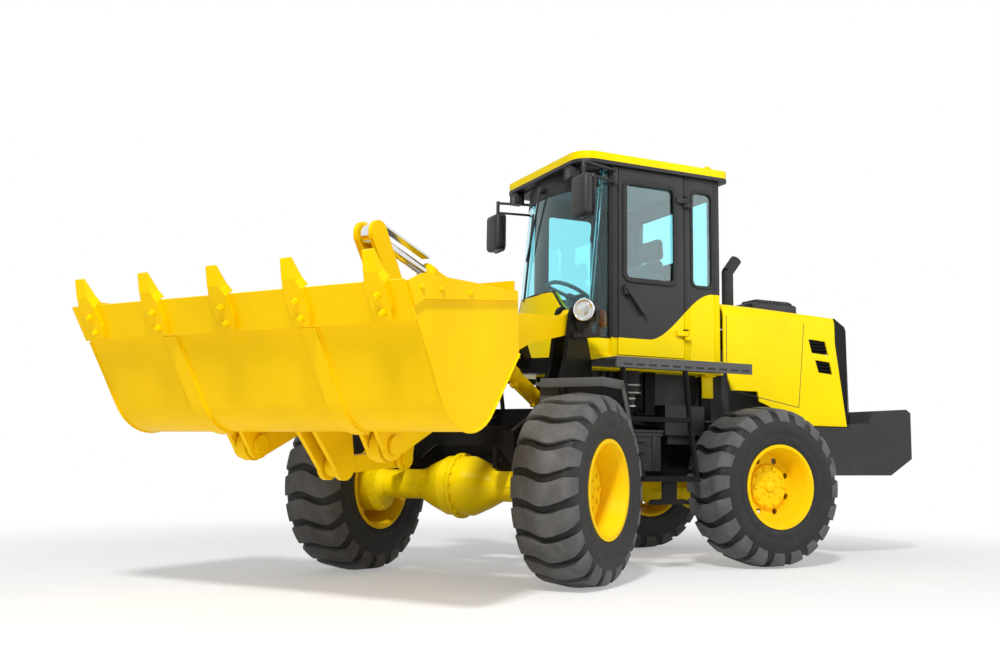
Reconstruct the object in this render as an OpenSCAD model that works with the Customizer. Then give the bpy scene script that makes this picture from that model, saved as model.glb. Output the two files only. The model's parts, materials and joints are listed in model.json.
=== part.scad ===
// Small articulated wheel loader, millimetres.
// Work axes: +X forward along the rear half, +Y left, +Z up, ground at z = 0.
// The measures below are taken from the articulation pivot; the whole machine is
// then shifted so that the middle of its box is at x = 0, y = 0.

/* [Chassis] */
// Distance from the articulation pivot to each axle
axle_reach = 1190; // [1100:1300]
// Distance between the wheel centre planes of one axle
tread = 1510; // [1420:1600]
// Angle of the front half in the rest pose, to the left
steer_rest = 35; // [0:35]
// Half width of the rear frame between the outer plate faces
frame_half = 352; // [330:360]

/* [Wheels] */
// Outside diameter of the tyre over the lugs
tyre_od = 1060; // [1020:1100]
// Width of the tyre
tyre_width = 380; // [350:390]
// Height of the tyre lugs
lug_height = 30; // [20:40]
// Bead seat diameter of the rim
rim_seat = 508; // [480:530]
// Diameter over the rim flange
rim_flange = 552; // [540:570]
// Number of tread bars around the tyre
lugs = 20; // [16:24]
// Number of wheel studs
studs = 10; // [6:12]

/* [Cab] */
// Half width of the cab
cab_half = 548; // [520:560]
// Height of the roof's top
roof_top = 2718; // [2650:2800]
// Half width of the roof
roof_half = 574; // [550:600]
// Height of the cab floor's underside
floor_z = 1280; // [1250:1300]
// Outer radius of the windscreen at its foot
screen_r = 958; // [930:980]

/* [Hood and counterweight] */
// Half width of the hood
hood_half = 545; // [500:548]
// Wall thickness of the hood
hood_wall = 12; // [6:16]
// Half width of the counterweight
weight_half = 560; // [500:600]

/* [Loader] */
// Distance of the boom arms' middle planes from the centre plane
arm_y = 400; // [390:410]
// Thickness of a boom arm
arm_t = 50; // [40:54]
// Half width of the bucket over the side cutters
bucket_half = 955; // [900:1000]
// Angle of the bucket floor in the rest pose
bucket_tilt = 58.5; // [50:60]
// How far the teeth stand out past the cutting edge
tooth_reach = 132; // [100:150]

/* [Hidden] */
$fn = 48;
// pivot points of the loader in the front half: [x, z]
boom_pin = [600, 1550];
bucket_pin = [2550, 745];
rocker_mid = [1733, 1276];
rocker_top = [2160, 1840];
rocker_low = [1872, 686];
link_at = [-170, 86];
tilt_base = [656, 1500];
lift_base = [430, 900];
lift_top = [1400, 1290];
// pivots of the steering cylinders in plan
steer_base = [-381, 201];
steer_eye = [187, 201];
steer_z = 790;
// distance of the lift cylinders from the centre plane
lift_y = 292;
// running clearance at pins, and the hair of room between sheets that lie on each other
run = 0.08;
lie = 0.02;
wheel_r = tyre_od / 2;
// how far the pinion housing stands out of an axle's middle
axle_nose = 225;
// how much the windscreen's radius falls for each millimetre of height
screen_lean = 0.0815;
// heights of the cab: sill, underside of the roof, windows, lower and upper hinge
sill_z = floor_z + 92;
roof_low = roof_top - 75;
window_low = floor_z + 603;
window_top = roof_top - 176;
hinge_low = floor_z + 220;
hinge_high = roof_top - 298;
head_z = roof_top - 418;
// place of the exhaust stack
stack = [-1310, 250];
wheel_y = tread / 2;
arm_in = arm_y - arm_t / 2;
arm_out = arm_y + arm_t / 2;
lip_u = 862;
floor_v = -218;
heel = [340, 32];
heel_r = 250;
back_end = [214, 463];
spill_top = [512, 625];
side_y = bucket_half - 30;
cut_end = lip_u + 18;
tip_u = cut_end + tooth_reach;
// the outer teeth from the middle plane, and half a tooth's width at its tip
tooth_row = 820;
tip_half = 26;
// the box that the whole machine fills, for the shift to its middle
function turn_x(x, y) = x * cos(steer_rest) - y * sin(steer_rest);
function turn_y(x, y) = x * sin(steer_rest) + y * cos(steer_rest);
function bucket_x(u, v) = bucket_pin[0] + u * cos(bucket_tilt) - v * sin(bucket_tilt);
x_high = max(turn_x(bucket_x(tip_u, -240), -tooth_row - tip_half), turn_x(bucket_x(cut_end, -240), -bucket_half));
y_high = max(turn_y(bucket_x(tip_u, -240), tooth_row + tip_half), turn_y(bucket_x(cut_end, -240), bucket_half));
x_low = -2836;
y_low = -wheel_y - tyre_width / 2;
ox = (x_high + x_low) / 2;
oy = (y_high + y_low) / 2;

// colours
yellow = [0.93, 0.76, 0.08];
amber = [0.90, 0.62, 0.05];
dark = [0.16, 0.16, 0.17];
grey = [0.30, 0.31, 0.32];
black = [0.07, 0.07, 0.07];
glass = [0.55, 0.78, 0.80];
steel = [0.75, 0.75, 0.76];

// helpers
function arc(c, r, a0, a1, n = 12) =
  [for (i = [0:n]) [c[0] + r * cos(a0 + (a1 - a0) * i / n), c[1] + r * sin(a0 + (a1 - a0) * i / n)]];

module rear_half() {
  translate([-ox, -oy, 0]) children();
}

module front_half() {
  translate([-ox, -oy, 0]) rotate([0, 0, steer_rest]) children();
}

module both() {
  children();
  mirror([0, 1, 0]) children();
}

module box(x0, x1, y0, y1, z0, z1) {
  translate([x0, y0, z0]) cube([x1 - x0, y1 - y0, z1 - z0]);
}

// a side-view outline given as [x, z], as a plate from y0 to y1
module plate(y0, y1, points) {
  translate([0, y1, 0]) rotate([90, 0, 0]) linear_extrude(y1 - y0) polygon(points);
}

// a front-view outline given as [y, z], as a bar from x0 to x1
module bar(x0, x1, points) {
  translate([x0, 0, 0]) rotate([90, 0, 90]) linear_extrude(x1 - x0) polygon(points);
}

// a plan-view outline given as [x, y], as a slab from z0 to z1
module slab(z0, z1, points) {
  translate([0, 0, z0]) linear_extrude(z1 - z0) polygon(points);
}

module pin_y(at, r, y0, y1) {
  translate([at[0], y1, at[1]]) rotate([90, 0, 0]) cylinder(r = r, h = y1 - y0);
}

module pin_z(x, y, r, z0, z1) {
  translate([x, y, z0]) cylinder(r = r, h = z1 - z0);
}

module pin_x(y, z, r, x0, x1) {
  translate([x0, y, z]) rotate([0, 90, 0]) cylinder(r = r, h = x1 - x0);
}

// a round bar between two points
module rod(a, b, r) {
  d = b - a;
  l = norm(d);
  translate(a) rotate([0, acos(d[2] / l), atan2(d[1], d[0])]) cylinder(r = r, h = l);
}

// turns +X of the children along the line from a to b in side view, starting at a
module along(a, b, y = 0) {
  translate([a[0], y, a[1]]) rotate([0, -atan2(b[1] - a[1], b[0] - a[0]), 0]) children();
}

function span(a, b) = norm(b - a);

// rear half: frame and drive

// upper edge of the frame plates behind the engine
function rail_z(x) = 960 + (x + 1900) * 60 / 430;

module rear_frame() {
  color(dark) rear_half() difference() {
    union() {
      both() plate(frame_half - 22, frame_half, [[-450, 560], [-450, 1010], [-900, 1010], [-1000, 960],
        [-1900, 960], [-2330, 900], [-2330, 640], [-2000, 600], [-axle_reach - 310, 600],
        [-axle_reach - 210, 720], [-axle_reach + 210, 720], [-axle_reach + 310, 560]]);
      box(-450, -430, -frame_half, frame_half, 560, 1010);
      box(-2335, -2315, -frame_half, frame_half, 640, 900);
      box(-1010, -990, -frame_half + 10, frame_half - 10, 730, 950);
      both() box(-axle_reach - 80, -axle_reach + 80, frame_half - 58, frame_half - 10, 620, 740);
      // hood rests
      both() box(-1770, -1690, frame_half - 10, hood_half, 925, 953);
      for (z = [595, 935])
        slab(z, z + 50, concat([[-440, 300], [-440, -300]], arc([0, 0], 85, -100, 100, 16)));
      both() for (z = [745, 818])
        slab(z, z + 16, concat([[-440, 260], [-440, 140]], arc(steer_base, 40, -90, 90, 8)));
      both() pin_z(steer_base[0], steer_base[1], 20, 746, 833);
      // cab mounts
      both() box(-520, -440, frame_half - 10, 470, 990, 1010);
      both() box(-520, -440, 440, 470, 1000, floor_z);
      both() box(-980, -900, frame_half - 10, 470, 970, 990);
      both() box(-980, -900, 440, 470, 980, floor_z);
    }
    for (z = [590, 930]) pin_z(0, 0, 36 + run, z, z + 60);
    pin_x(0, steer_z, 70, -460, -420);
  }
}

module counterweight() {
  color(dark) rear_half() difference() {
    plate(-weight_half, weight_half, [[-1840, 946], [-2000, 600], [-2560, 603], [-2836, 762], [-2812, 1050],
      [-2730, 1098], [-2400, 1074], [-2345, 985], [-2160, 946]]);
    box(-2335, -1700, -frame_half - 6, frame_half + 6, 500, 1100);
    // tow notch and the bore for its pin
    box(-2900, -2720, -90, 90, 770, 880);
    pin_z(-2775, 0, 20, 600, 1200);
    pin_z(-2775, 0, 46, 1050, 1200);
    pin_z(-2775, 0, 46, 500, 740);
    // corners cut in plan
    both() slab(500, 1200, [[-2900, 400], [-2836, 490], [-2740, 600], [-2900, 600]]);
  }
}

module engine() {
  color(grey) rear_half() {
    union() {
      box(-1900, -1080, -250, 250, 760, 1500);
      both() box(-1300, -1220, 240, frame_half - 22, 820, 880);
      both() box(-1800, -1720, 240, frame_half - 22, 820, 880);
    }
    // radiator on feet that stand on the frame plates
    union() {
      box(-2060, -1980, -430, 430, 1000, 1600);
      both() plate(frame_half - 22, frame_half, [[-2060, rail_z(-2060) + lie], [-1980, rail_z(-1980) + lie],
        [-1980, 1010], [-2060, 1010]]);
    }
  }
}

module transmission() {
  color(amber) rear_half() union() {
    box(-axle_reach + 230, -580, -230, 230, 500, 940);
    both() box(-800, -720, 220, frame_half - 22, 820, 880);
    pin_x(0, 700, 150, -600, -520);
    pin_x(0, steer_z, 34, -590, -70);
    pin_x(0, steer_z, 55, -130, -70);
    pin_x(0, wheel_r, 45, -axle_reach + axle_nose, -axle_reach + 240);
  }
}

module axle(nose) {
  rotate([-90, 0, 0]) rotate_extrude() polygon([[0, -wheel_y + 17], [70, -wheel_y + 17], [70, -wheel_y + 68],
    [165, -wheel_y + 70], [165, -wheel_y + 180], [110, -wheel_y + 200], [85, -wheel_y + 230], [85, -270],
    [130, -180], [172, -80], [172, 80], [130, 180], [85, 270], [85, wheel_y - 230], [110, wheel_y - 200],
    [165, wheel_y - 180], [165, wheel_y - 70], [70, wheel_y - 68], [70, wheel_y - 17], [0, wheel_y - 17]]);
  rotate([0, 90, 0]) translate([0, 0, nose > 0 ? 0 : nose]) cylinder(r = 90, h = abs(nose));
}

module rear_axle() {
  color(amber) rear_half() translate([-axle_reach, 0, wheel_r]) union() {
    axle(axle_nose);
    both() box(-80, 80, 235, frame_half - 22, 0, 620 - wheel_r);
  }
}

// rear half: hood

function hood_z(x) = 1793 + (x + 1040) * 46 / 1010;

hood_outline = concat([[-1040, 1380], [-1040, 1793], [-2050, 1747], [-2052, 1560], [-2150, 953]],
  [[-axle_reach - 425, 953]], arc([-axle_reach, wheel_r], 600, 135, 105, 8),
  [[-axle_reach - 140, 1180], [-1100, 1180]]);

module hood() {
  color(yellow) rear_half() difference() {
    intersection() {
      plate(-hood_half, hood_half, hood_outline);
      bar(-2200, -1000, concat([[-hood_half, 900], [hood_half, 900]],
        arc([hood_half - 90, 1700], 90, 0, 75, 6), [[330, 1800], [-330, 1800]],
        arc([-hood_half + 90, 1700], 90, 105, 180, 6)));
    }
    bar(-2300, -1000, concat([[-hood_half + hood_wall, 800], [hood_half - hood_wall, 800]],
      arc([hood_half - 90, 1694], 90 - hood_wall, 0, 70, 6), [[320, 1735], [-320, 1735]],
      arc([-hood_half + 90, 1694], 90 - hood_wall, 110, 180, 6)));
    // louvre openings of the side
    both() plate(hood_half - 30, hood_half + 10, [[-1800, 1580], [-1960, 1570], [-1990, 1470],
      [-1830, 1480]]);
    both() plate(hood_half - 30, hood_half + 10, [[-1860, 1430], [-2000, 1420], [-2024, 1330],
      [-1890, 1340]]);
    pin_z(stack[0], stack[1], 48, 1700, 1900);
  }
}

module rear_grille() {
  color(black) rear_half() difference() {
    intersection() {
      plate(-hood_half, hood_half, [[-2050, 1747], [-2148, 1689], [-2157, 1668], [-2273, 990],
        [-2156, 990], [-2150, 953], [-2052, 1560]]);
      slab(900, 1800, [[-2000, -hood_half], [-2160, -hood_half], [-2290, -430], [-2290, 430],
        [-2160, hood_half], [-2000, hood_half]]);
    }
    box(-2215, -2000, -430, 430, 900, 1640);
    for (i = [0:8]) box(-2300, -2100, -380, 380, 1040 + i * 64, 1072 + i * 64);
    both() box(-2120, -2000, 420, hood_half - hood_wall, 900, 1640);
  }
}

module exhaust() {
  color(grey) rear_half() union() {
    pin_z(stack[0], stack[1], 42, 1500, 2080);
    pin_z(stack[0], stack[1], 60, 1500, 1640);
    rod([stack[0], stack[1], 2070], [stack[0] - 80, stack[1], 2170], 42);
  }
}

module air_cleaner() {
  color(black) rear_half() plate(170, 400, [[-1840, hood_z(-1840) + lie], [-1420, hood_z(-1420) + lie],
    [-1430, 1862], [-1460, 1872], [-1810, 1850], [-1835, 1835]]);
}

// rear half: cab

module screen_cone(extra) {
  foot = floor_z + 50;
  top_r = screen_r + 7 + extra - (roof_low - foot) * screen_lean;
  translate([-758, 0, foot]) cylinder(r1 = screen_r + 7 + extra, r2 = top_r, h = roof_low - foot, $fn = 96);
}

module cowl_shape(x0, x1, grow) {
  bar(x0, x1, [[-503, 1200], [503, 1200], [503, 1430 + grow], [380, 1620 + grow], [230 + grow, 1810 + grow],
    [-230 - grow, 1810 + grow], [-380, 1620 + grow], [-503, 1430 + grow]]);
}

module cab_base() {
  color(yellow) rear_half() union() {
    intersection() {
      translate([-758, 0, floor_z]) cylinder(r = screen_r + 7, h = 50, $fn = 96);
      box(-1030, 400, -cab_half, cab_half, floor_z, floor_z + 50);
    }
    both() box(-1030, 80, cab_half - 26, cab_half, floor_z + 40, sill_z);
  }
}

module cab_cowl() {
  color(yellow) rear_half() intersection() {
    difference() {
      screen_cone(0);
      screen_cone(-40);
    }
    cowl_shape(0, 400, 0);
    box(0, 400, -503, 503, floor_z + 50, 1900);
  }
}

module hinge_side(z) {
  pin_z(-709, cab_half + 16, 16, z, z + 24);
  box(-750, -709, cab_half - 6, cab_half + 28, z, z + 24);
  pin_z(-709, cab_half + 16, 8, z, z + 64);
}

module cab_posts() {
  z0 = sill_z;
  z1 = roof_low;
  color(dark) rear_half() {
    both() plate(cab_half - 45, cab_half, [[38, z0], [82, z0], [-36, z1], [-80, z1]]);
    both() box(-176, -130, cab_half - 45, cab_half, z0, z1);
    both() union() {
      box(-762, -714, cab_half - 45, cab_half, z0, z1);
      hinge_side(hinge_low);
      hinge_side(hinge_high);
    }
    both() box(-1010, -962, cab_half - 45, cab_half, z0, z1);
  }
}

// outline of a side window with round corners, from x0 to x1
function window(x0, x1, r = 45) = concat(arc([x1 - r, window_top - r], r, 0, 90, 5),
  arc([x0 + r, window_top - r], r, 90, 180, 5), arc([x0 + r, window_low + r], r, 180, 270, 5),
  arc([x1 - r, window_low + r], r, 270, 360, 5));

module cab_panels() {
  color(yellow) rear_half() {
    // quarter panels and the rear wall with its window opening
    both() difference() {
      box(-962, -762, cab_half - 20, cab_half - 4, sill_z, roof_low);
      plate(cab_half - 60, cab_half + 60, window(-948, -776));
    }
    difference() {
      box(-1010, -990, -cab_half + 45, cab_half - 45, floor_z + 50, roof_low);
      box(-1020, -980, -430, 430, window_low, window_top);
    }
  }
}

module cab_roof() {
  f = 135;
  r = 60;
  color(yellow) rear_half() union() {
    slab(roof_low, roof_top, concat(arc([130 - f, roof_half - f], f, 90, 0, 8),
      arc([130 - f, -roof_half + f], f, 0, -90, 8), arc([-1085 + r, -roof_half + r], r, -90, -180, 6),
      arc([-1085 + r, roof_half - r], r, 180, 90, 6)));
    both() difference() {
      union() {
        box(-1030, -950, 440, 452, roof_top - 10, roof_top + 20);
        pin_y([-990, roof_top + 20], 40, 440, 452);
      }
      pin_y([-990, roof_top + 26], 20, 430, 460);
    }
  }
}

module windscreen() {
  color(glass) rear_half() intersection() {
    difference() {
      screen_cone(-12);
      screen_cone(-18);
    }
    difference() {
      bar(-100, 400, [[-500, sill_z + 3], [500, sill_z + 3], [500, roof_low], [-500, roof_low]]);
      cowl_shape(-200, 400, 0);
    }
  }
}

module cab_glass() {
  color(glass) rear_half() {
    both() plate(cab_half - 28, cab_half - 22, [[-130, sill_z], [38, sill_z], [-80, roof_low],
      [-130, roof_low]]);
    both() plate(cab_half - 15, cab_half - 9, window(-948, -776));
    box(-1003, -997, -430, 430, window_low, window_top);
  }
}

module seat() {
  color(black) rear_half() {
    union() {
      box(-760, -420, -170, 170, floor_z + 50, 1500);
      box(-800, -340, -240, 240, 1490, 1640);
    }
    union() {
      plate(-230, 230, [[-800, 1640], [-660, 1640], [-740, head_z - 160], [-850, head_z - 160]]);
      plate(-130, 130, [[-760, head_z - 170], [-840, head_z - 170], [-855, head_z], [-785, head_z]]);
    }
  }
}

module steering_column() {
  color(grey) rear_half() {
    union() {
      plate(-110, 110, [[-60, floor_z + 50], [110, floor_z + 50], [60, 1700], [-80, 1760], [-120, 1700]]);
      rod([-70, 0, 1700], [-130, 0, 1800], 28);
    }
    translate([-134, 0, 1806]) rotate([0, -31, 0]) union() {
      rotate_extrude() translate([190, 14]) circle(r = 14, $fn = 20);
      cylinder(r = 45, h = 26);
      for (a = [90, 210, 330]) rotate([0, 0, a]) box(30, 185, -14, 14, 6, 22);
    }
  }
}

module running_boards() {
  color(grey) rear_half() both() union() {
    box(-1010, 40, cab_half, 880, 1312, 1330);
    box(-1010, 40, 862, 880, 1262, 1330);
    box(-1010, 40, cab_half, cab_half + 18, 1290, 1330);
  }
}

module ladders() {
  color(black) rear_half() both() union() {
    pin_z(-10, 871, 17, 1235, 1262);
    rod([-10, 871, 1245], [-50, 871, 940], 17);
    rod([-50, 871, 950], [-160, 871, 580], 17);
    pin_z(-480, 871, 17, 1235, 1262);
    rod([-480, 871, 1245], [-510, 871, 940], 17);
    rod([-510, 871, 950], [-565, 871, 580], 17);
    box(-515, -45, 845, 897, 930, 956);
    box(-575, -150, 845, 897, 560, 590);
    box(-400, -300, 860, 884, 440, 570);
    box(-480, -220, 840, 900, 420, 446);
  }
}

module under_cab_units() {
  color(black) rear_half() {
    both() union() {
      // side cover and the tank on it
      box(-960, -60, frame_half + 20, frame_half + 30, 1010, floor_z);
      box(-880, -560, frame_half, 530, 860, 1060);
      box(-850, -600, frame_half, 500, 800, 880);
      // brake booster
      pin_z(-330, 440, 75, 1130, floor_z);
      pin_z(-330, 440, 45, 1040, 1140);
    }
    // battery box
    both() union() {
      box(-530, -190, frame_half, 520, 620, 860);
      box(-540, -180, frame_half, 530, 850, 880);
    }
  }
}

module mirrors() {
  color(black) rear_half() both() union() {
    bar(120, 165, concat(arc([730, roof_top - 258], 40, 0, 90, 4), arc([610, roof_top - 258], 40, 90, 180, 4),
      arc([610, roof_top - 478], 40, 180, 270, 4), arc([730, roof_top - 478], 40, 270, 360, 4)));
    rod([-42, cab_half + 11, roof_top - 248], [140, 660, roof_top - 268], 11);
    rod([-30, cab_half + 10, roof_top - 318], [140, 650, roof_top - 348], 9);
    box(-62, -18, cab_half, cab_half + 12, roof_top - 340, roof_top - 228);
  }
}

module roof_lamps() {
  color(black) rear_half() both() union() {
    box(130, 142, 400, 430, roof_top - 58, roof_top - 18);
    box(135, 200, 370, 460, roof_top - 128, roof_top - 48);
  }
}

module door() {
  difference() {
    union() {
      box(-706, -184, cab_half - 26, cab_half, sill_z + 6, roof_low - 6);
      for (z = [hinge_low + 28, hinge_high + 28]) union() {
        pin_z(-709, cab_half + 16, 16, z, z + 36);
        box(-709, -640, cab_half - 6, cab_half + 22, z, z + 36);
      }
      box(-260, -215, cab_half - 4, cab_half + 30, window_low - 103, window_low - 43);
    }
    plate(cab_half - 60, cab_half + 60, window(-632, -232));
    for (z = [hinge_low, hinge_high]) pin_z(-709, cab_half + 16, 8 + run, z, z + 70);
  }
}

module door_glass() {
  plate(cab_half - 16, cab_half - 10, window(-632, -232));
}

module door_left() {
  color(yellow) rear_half() door();
}

module door_left_glass() {
  color(glass) rear_half() door_glass();
}

module door_right() {
  color(yellow) rear_half() mirror([0, 1, 0]) door();
}

module door_right_glass() {
  color(glass) rear_half() mirror([0, 1, 0]) door_glass();
}

// front half

module tower(y0, y1, low) {
  plate(y0, y1, concat([[low, 1000], [low, 1300]], arc(boom_pin, 95, 160, 20, 10),
    [[760, 1300], [900, 1000]]));
}

module front_frame() {
  color(dark) front_half() difference() {
    union() {
      // inner tower plates run the length of the frame
      both() plate(340, 366, concat([[330, 560], [330, 1230], [395, 1300]], arc(boom_pin, 95, 160, 20, 10),
        [[760, 1300], [900, 1000], [axle_reach + 50, 850], [axle_reach + 50, 640], [axle_reach + 250, 760],
        [axle_reach + 250, 640], [axle_reach + 190, 620], [620, 620], [560, 560]]));
      both() tower(434, 460, 380);
      both() box(380, 780, 350, 450, 1000, 1030);
      both() pin_y(boom_pin, 36, 341, 464);
      both() pin_y(boom_pin, 55, 460, 466);
      box(330, 352, -366, 366, 560, 1020);
      box(axle_reach + 32, axle_reach + 52, -366, 366, 640, 850);
      box(860, 880, -366, 366, 700, 890);
      box(400, 500, -366, 366, 1240, 1340);
      // ears of the tilt cylinder's base
      both() plate(44, 70, concat([[410, 1260], [490, 1260], [700, 1440]], arc(tilt_base, 60, -45, 150, 10)));
      // ears of the lift cylinders' bases
      both() plate(lift_y - 70, lift_y - 48, concat([[340, 820], [340, 980]],
        arc(lift_base, 60, 90, -90, 10)));
      both() pin_y(lift_base, 32, lift_y - 60, 350);
      // fork plates of the articulation joint and its pins
      for (z = [560, 650, 900, 990])
        slab(z, z + 30, concat([[340, -300], [340, 300]], arc([0, 0], 85, 80, 280, 16)));
      pin_z(0, 0, 36, 552, 688);
      pin_z(0, 0, 36, 892, 1028);
      // ears of the steering cylinders' rods
      both() for (z = [748, 816])
        slab(z, z + 16, concat([[340, 150], [340, 252]], arc(steer_eye, 40, 90, 270, 8)));
    }
    both() pin_y([axle_reach + 215, 700], 25 + run, 330, 380);
    pin_x(0, 735, 120, 300, 400);
    bar(axle_reach + 10, axle_reach + 70, [[-270, 600], [-270, 690], [-170, 765], [170, 765], [270, 690],
      [270, 600]]);
    both() pin_y(tilt_base, 32 + run, 40, 80);
  }
}

module front_axle() {
  color(amber) front_half() {
    translate([axle_reach, 0, wheel_r]) union() {
      axle(-axle_nose);
      both() box(-90, 90, 240, 366, 0, 620 - wheel_r);
    }
    rod([80, 0, 782], [axle_reach - 220, 0, 545], 32);
  }
}

module front_fenders() {
  color(grey) front_half() both() union() {
    translate([axle_reach, 0, tyre_od]) plate(480, 870, [[-45, 82], [-45, 90], [-344, 90], [-458, -124],
      [-578, -420], [-570, -420], [-450, -126], [-339, 82]]);
    box(axle_reach - 285, axle_reach - 205, 366, 490, tyre_od + 60, tyre_od + 82);
    box(axle_reach - 285, axle_reach - 265, 366, 490, 940, tyre_od + 70);
  }
}

module headlamps() {
  color(black) front_half() both() union() {
    box(600, 660, 460, 640, 1440, 1462);
    box(600, 640, 520, 560, 1450, 1560);
    pin_x(540, 1606, 72, 590, 680);
    box(610, 660, 612, 640, 1450, 1600);
  }
}

// steering cylinders

module steer_barrel() {
  difference() {
    union() {
      pin_z(0, 0, 38, -20, 20);
      pin_x(0, 0, 24, 20, 60);
      pin_x(0, 0, 34, 50, 350);
    }
    pin_z(0, 0, 20 + run, -60, 60);
    pin_x(0, 0, 18.3, 60, 360);
  }
}

module steer_rod(l) {
  union() {
    pin_x(0, 0, 18, l - 354, l - 30);
    pin_z(l, 0, 36, -22, 22);
  }
}

// the line of a steering cylinder at rest; side 1 is left, -1 right
module steer_line(side) {
  ex = turn_x(steer_eye[0], side * steer_eye[1]);
  ey = turn_y(steer_eye[0], side * steer_eye[1]);
  translate([steer_base[0], side * steer_base[1], steer_z])
    rotate([0, 0, atan2(ey - side * steer_base[1], ex - steer_base[0])]) children();
}

function steer_len(side) = norm([turn_x(steer_eye[0], side * steer_eye[1]) - steer_base[0],
  turn_y(steer_eye[0], side * steer_eye[1]) - side * steer_base[1]]);

module steer_barrel_left() {
  color(dark) rear_half() steer_line(1) steer_barrel();
}

module steer_rod_left() {
  color(steel) rear_half() steer_line(1) steer_rod(steer_len(1));
}

module steer_barrel_right() {
  color(dark) rear_half() steer_line(-1) steer_barrel();
}

module steer_rod_right() {
  color(steel) rear_half() steer_line(-1) steer_rod(steer_len(-1));
}

// loader

tube_at = [1580, 1300];

module boom() {
  color(yellow) front_half() difference() {
    union() {
      both() {
        plate(arm_in, arm_out, [[590, 1624], [729, 1570], [1266, 1516], [1620, 1400], [2000, 1170],
          [2300, 930], [2580, 800], [2510, 675], [2150, 830], [1900, 985], [1620, 1150], [1400, 1265],
          [1168, 1353], [727, 1445], [585, 1477]]);
        pin_y(boom_pin, 75, arm_in, arm_out);
        pin_y(bucket_pin, 80, arm_in, arm_out);
        // rocker brackets and lift ears on the cross tube
        plate(68, 94, concat([[1560, 1240], [1540, 1350]], arc(rocker_mid, 65, 100, -80, 10)));
        for (y = [lift_y - 52, lift_y + 28])
          plate(y, y + 24, concat([[1600, 1350], [1600, 1250]], arc(lift_top, 55, 270, 90, 10)));
      }
      pin_y(tube_at, 60, -arm_y, arm_y);
    }
    both() pin_y(boom_pin, 36 + run, 300, 500);
    both() pin_y(bucket_pin, 32 + run, 300, 500);
    both() pin_y(rocker_mid, 38 + run, 40, 120);
  }
}

module lift_barrels() {
  color(yellow) front_half() both() along(lift_base, lift_top, lift_y) difference() {
    union() {
      pin_y([0, 0], 55, -24, 24);
      pin_x(0, 0, 42, 30, 800);
    }
    pin_y([0, 0], 32 + run, -60, 60);
    pin_x(0, 0, 28.3, 70, 820);
  }
}

module lift_rods() {
  l = span(lift_base, lift_top);
  color(steel) front_half() both() along(lift_base, lift_top, lift_y) union() {
    pin_x(0, 0, 28, 240, l - 30);
    pin_y([l, 0], 45, -22, 22);
  }
}

module rocker_pin() {
  color(steel) front_half() union() {
    pin_y(rocker_mid, 38, -108, 108);
    both() pin_y(rocker_mid, 52, 97, 112);
  }
}

module rocker() {
  color(yellow) front_half() difference() {
    union() {
      both() plate(36, 60, concat(arc(rocker_top, 70, -30, 150, 10), [[1900, 1560], [1668, 1316],
        [1672, 1236], [1760, 960]], arc(rocker_low, 62, 180, 370, 10),
        [[1905, 960], [1840, 1230], [1960, 1440]]));
      pin_y(rocker_mid, 66, -60, 60);
      plate(-40, 40, [[1850, 1440], [1900, 1400], [1960, 1480], [1920, 1520]]);
    }
    pin_y(rocker_mid, 38 + run, -80, 80);
    pin_y(rocker_low, 32 + run, -80, 80);
  }
}

function link_x() = bucket_x(link_at[0], link_at[1]);
function link_z() = bucket_pin[1] + link_at[0] * sin(bucket_tilt) + link_at[1] * cos(bucket_tilt);

module bucket_link() {
  e = [link_x(), link_z()];
  l = span(rocker_low, e);
  color(yellow) front_half() along(rocker_low, e) union() {
    pin_y([0, 0], 52, -30, 30);
    pin_y([0, 0], 32, -66, 66);
    both() pin_y([0, 0], 46, 62, 74);
    pin_y([l, 0], 52, -30, 30);
    plate(-30, 30, [[20, -42], [l - 20, -42], [l - 20, 42], [20, 42]]);
  }
}

module tilt_pin() {
  color(steel) front_half() union() {
    pin_y(tilt_base, 32, -84, 84);
    both() pin_y(tilt_base, 44, 73, 86);
  }
}

module tilt_barrel() {
  color(yellow) front_half() along(tilt_base, rocker_top) difference() {
    union() {
      pin_y([0, 0], 58, -38, 38);
      pin_x(0, 0, 36, 30, 80);
      pin_x(0, 0, 52, 70, 1010);
    }
    pin_y([0, 0], 32 + run, -60, 60);
    pin_x(0, 0, 30.3, 200, 1040);
  }
}

module tilt_rod() {
  l = span(tilt_base, rocker_top);
  color(steel) front_half() along(tilt_base, rocker_top) union() {
    pin_x(0, 0, 30, 380, l - 30);
    pin_y([l, 0], 52, -30, 30);
    plate(-26, 26, [[l - 40, 20], [l - 20, 20], [l - 20, 90], [l - 520, 90], [l - 520, 78], [l - 40, 78]]);
  }
}

module bucket_pins() {
  color(steel) front_half() both() union() {
    pin_y(bucket_pin, 32, 336, 466);
    pin_y(bucket_pin, 46, 458, 472);
    pin_y(bucket_pin, 46, 326, 342);
  }
}

module bucket_frame() {
  front_half() translate([bucket_pin[0], 0, bucket_pin[1]]) rotate([0, -bucket_tilt, 0]) children();
}

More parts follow.
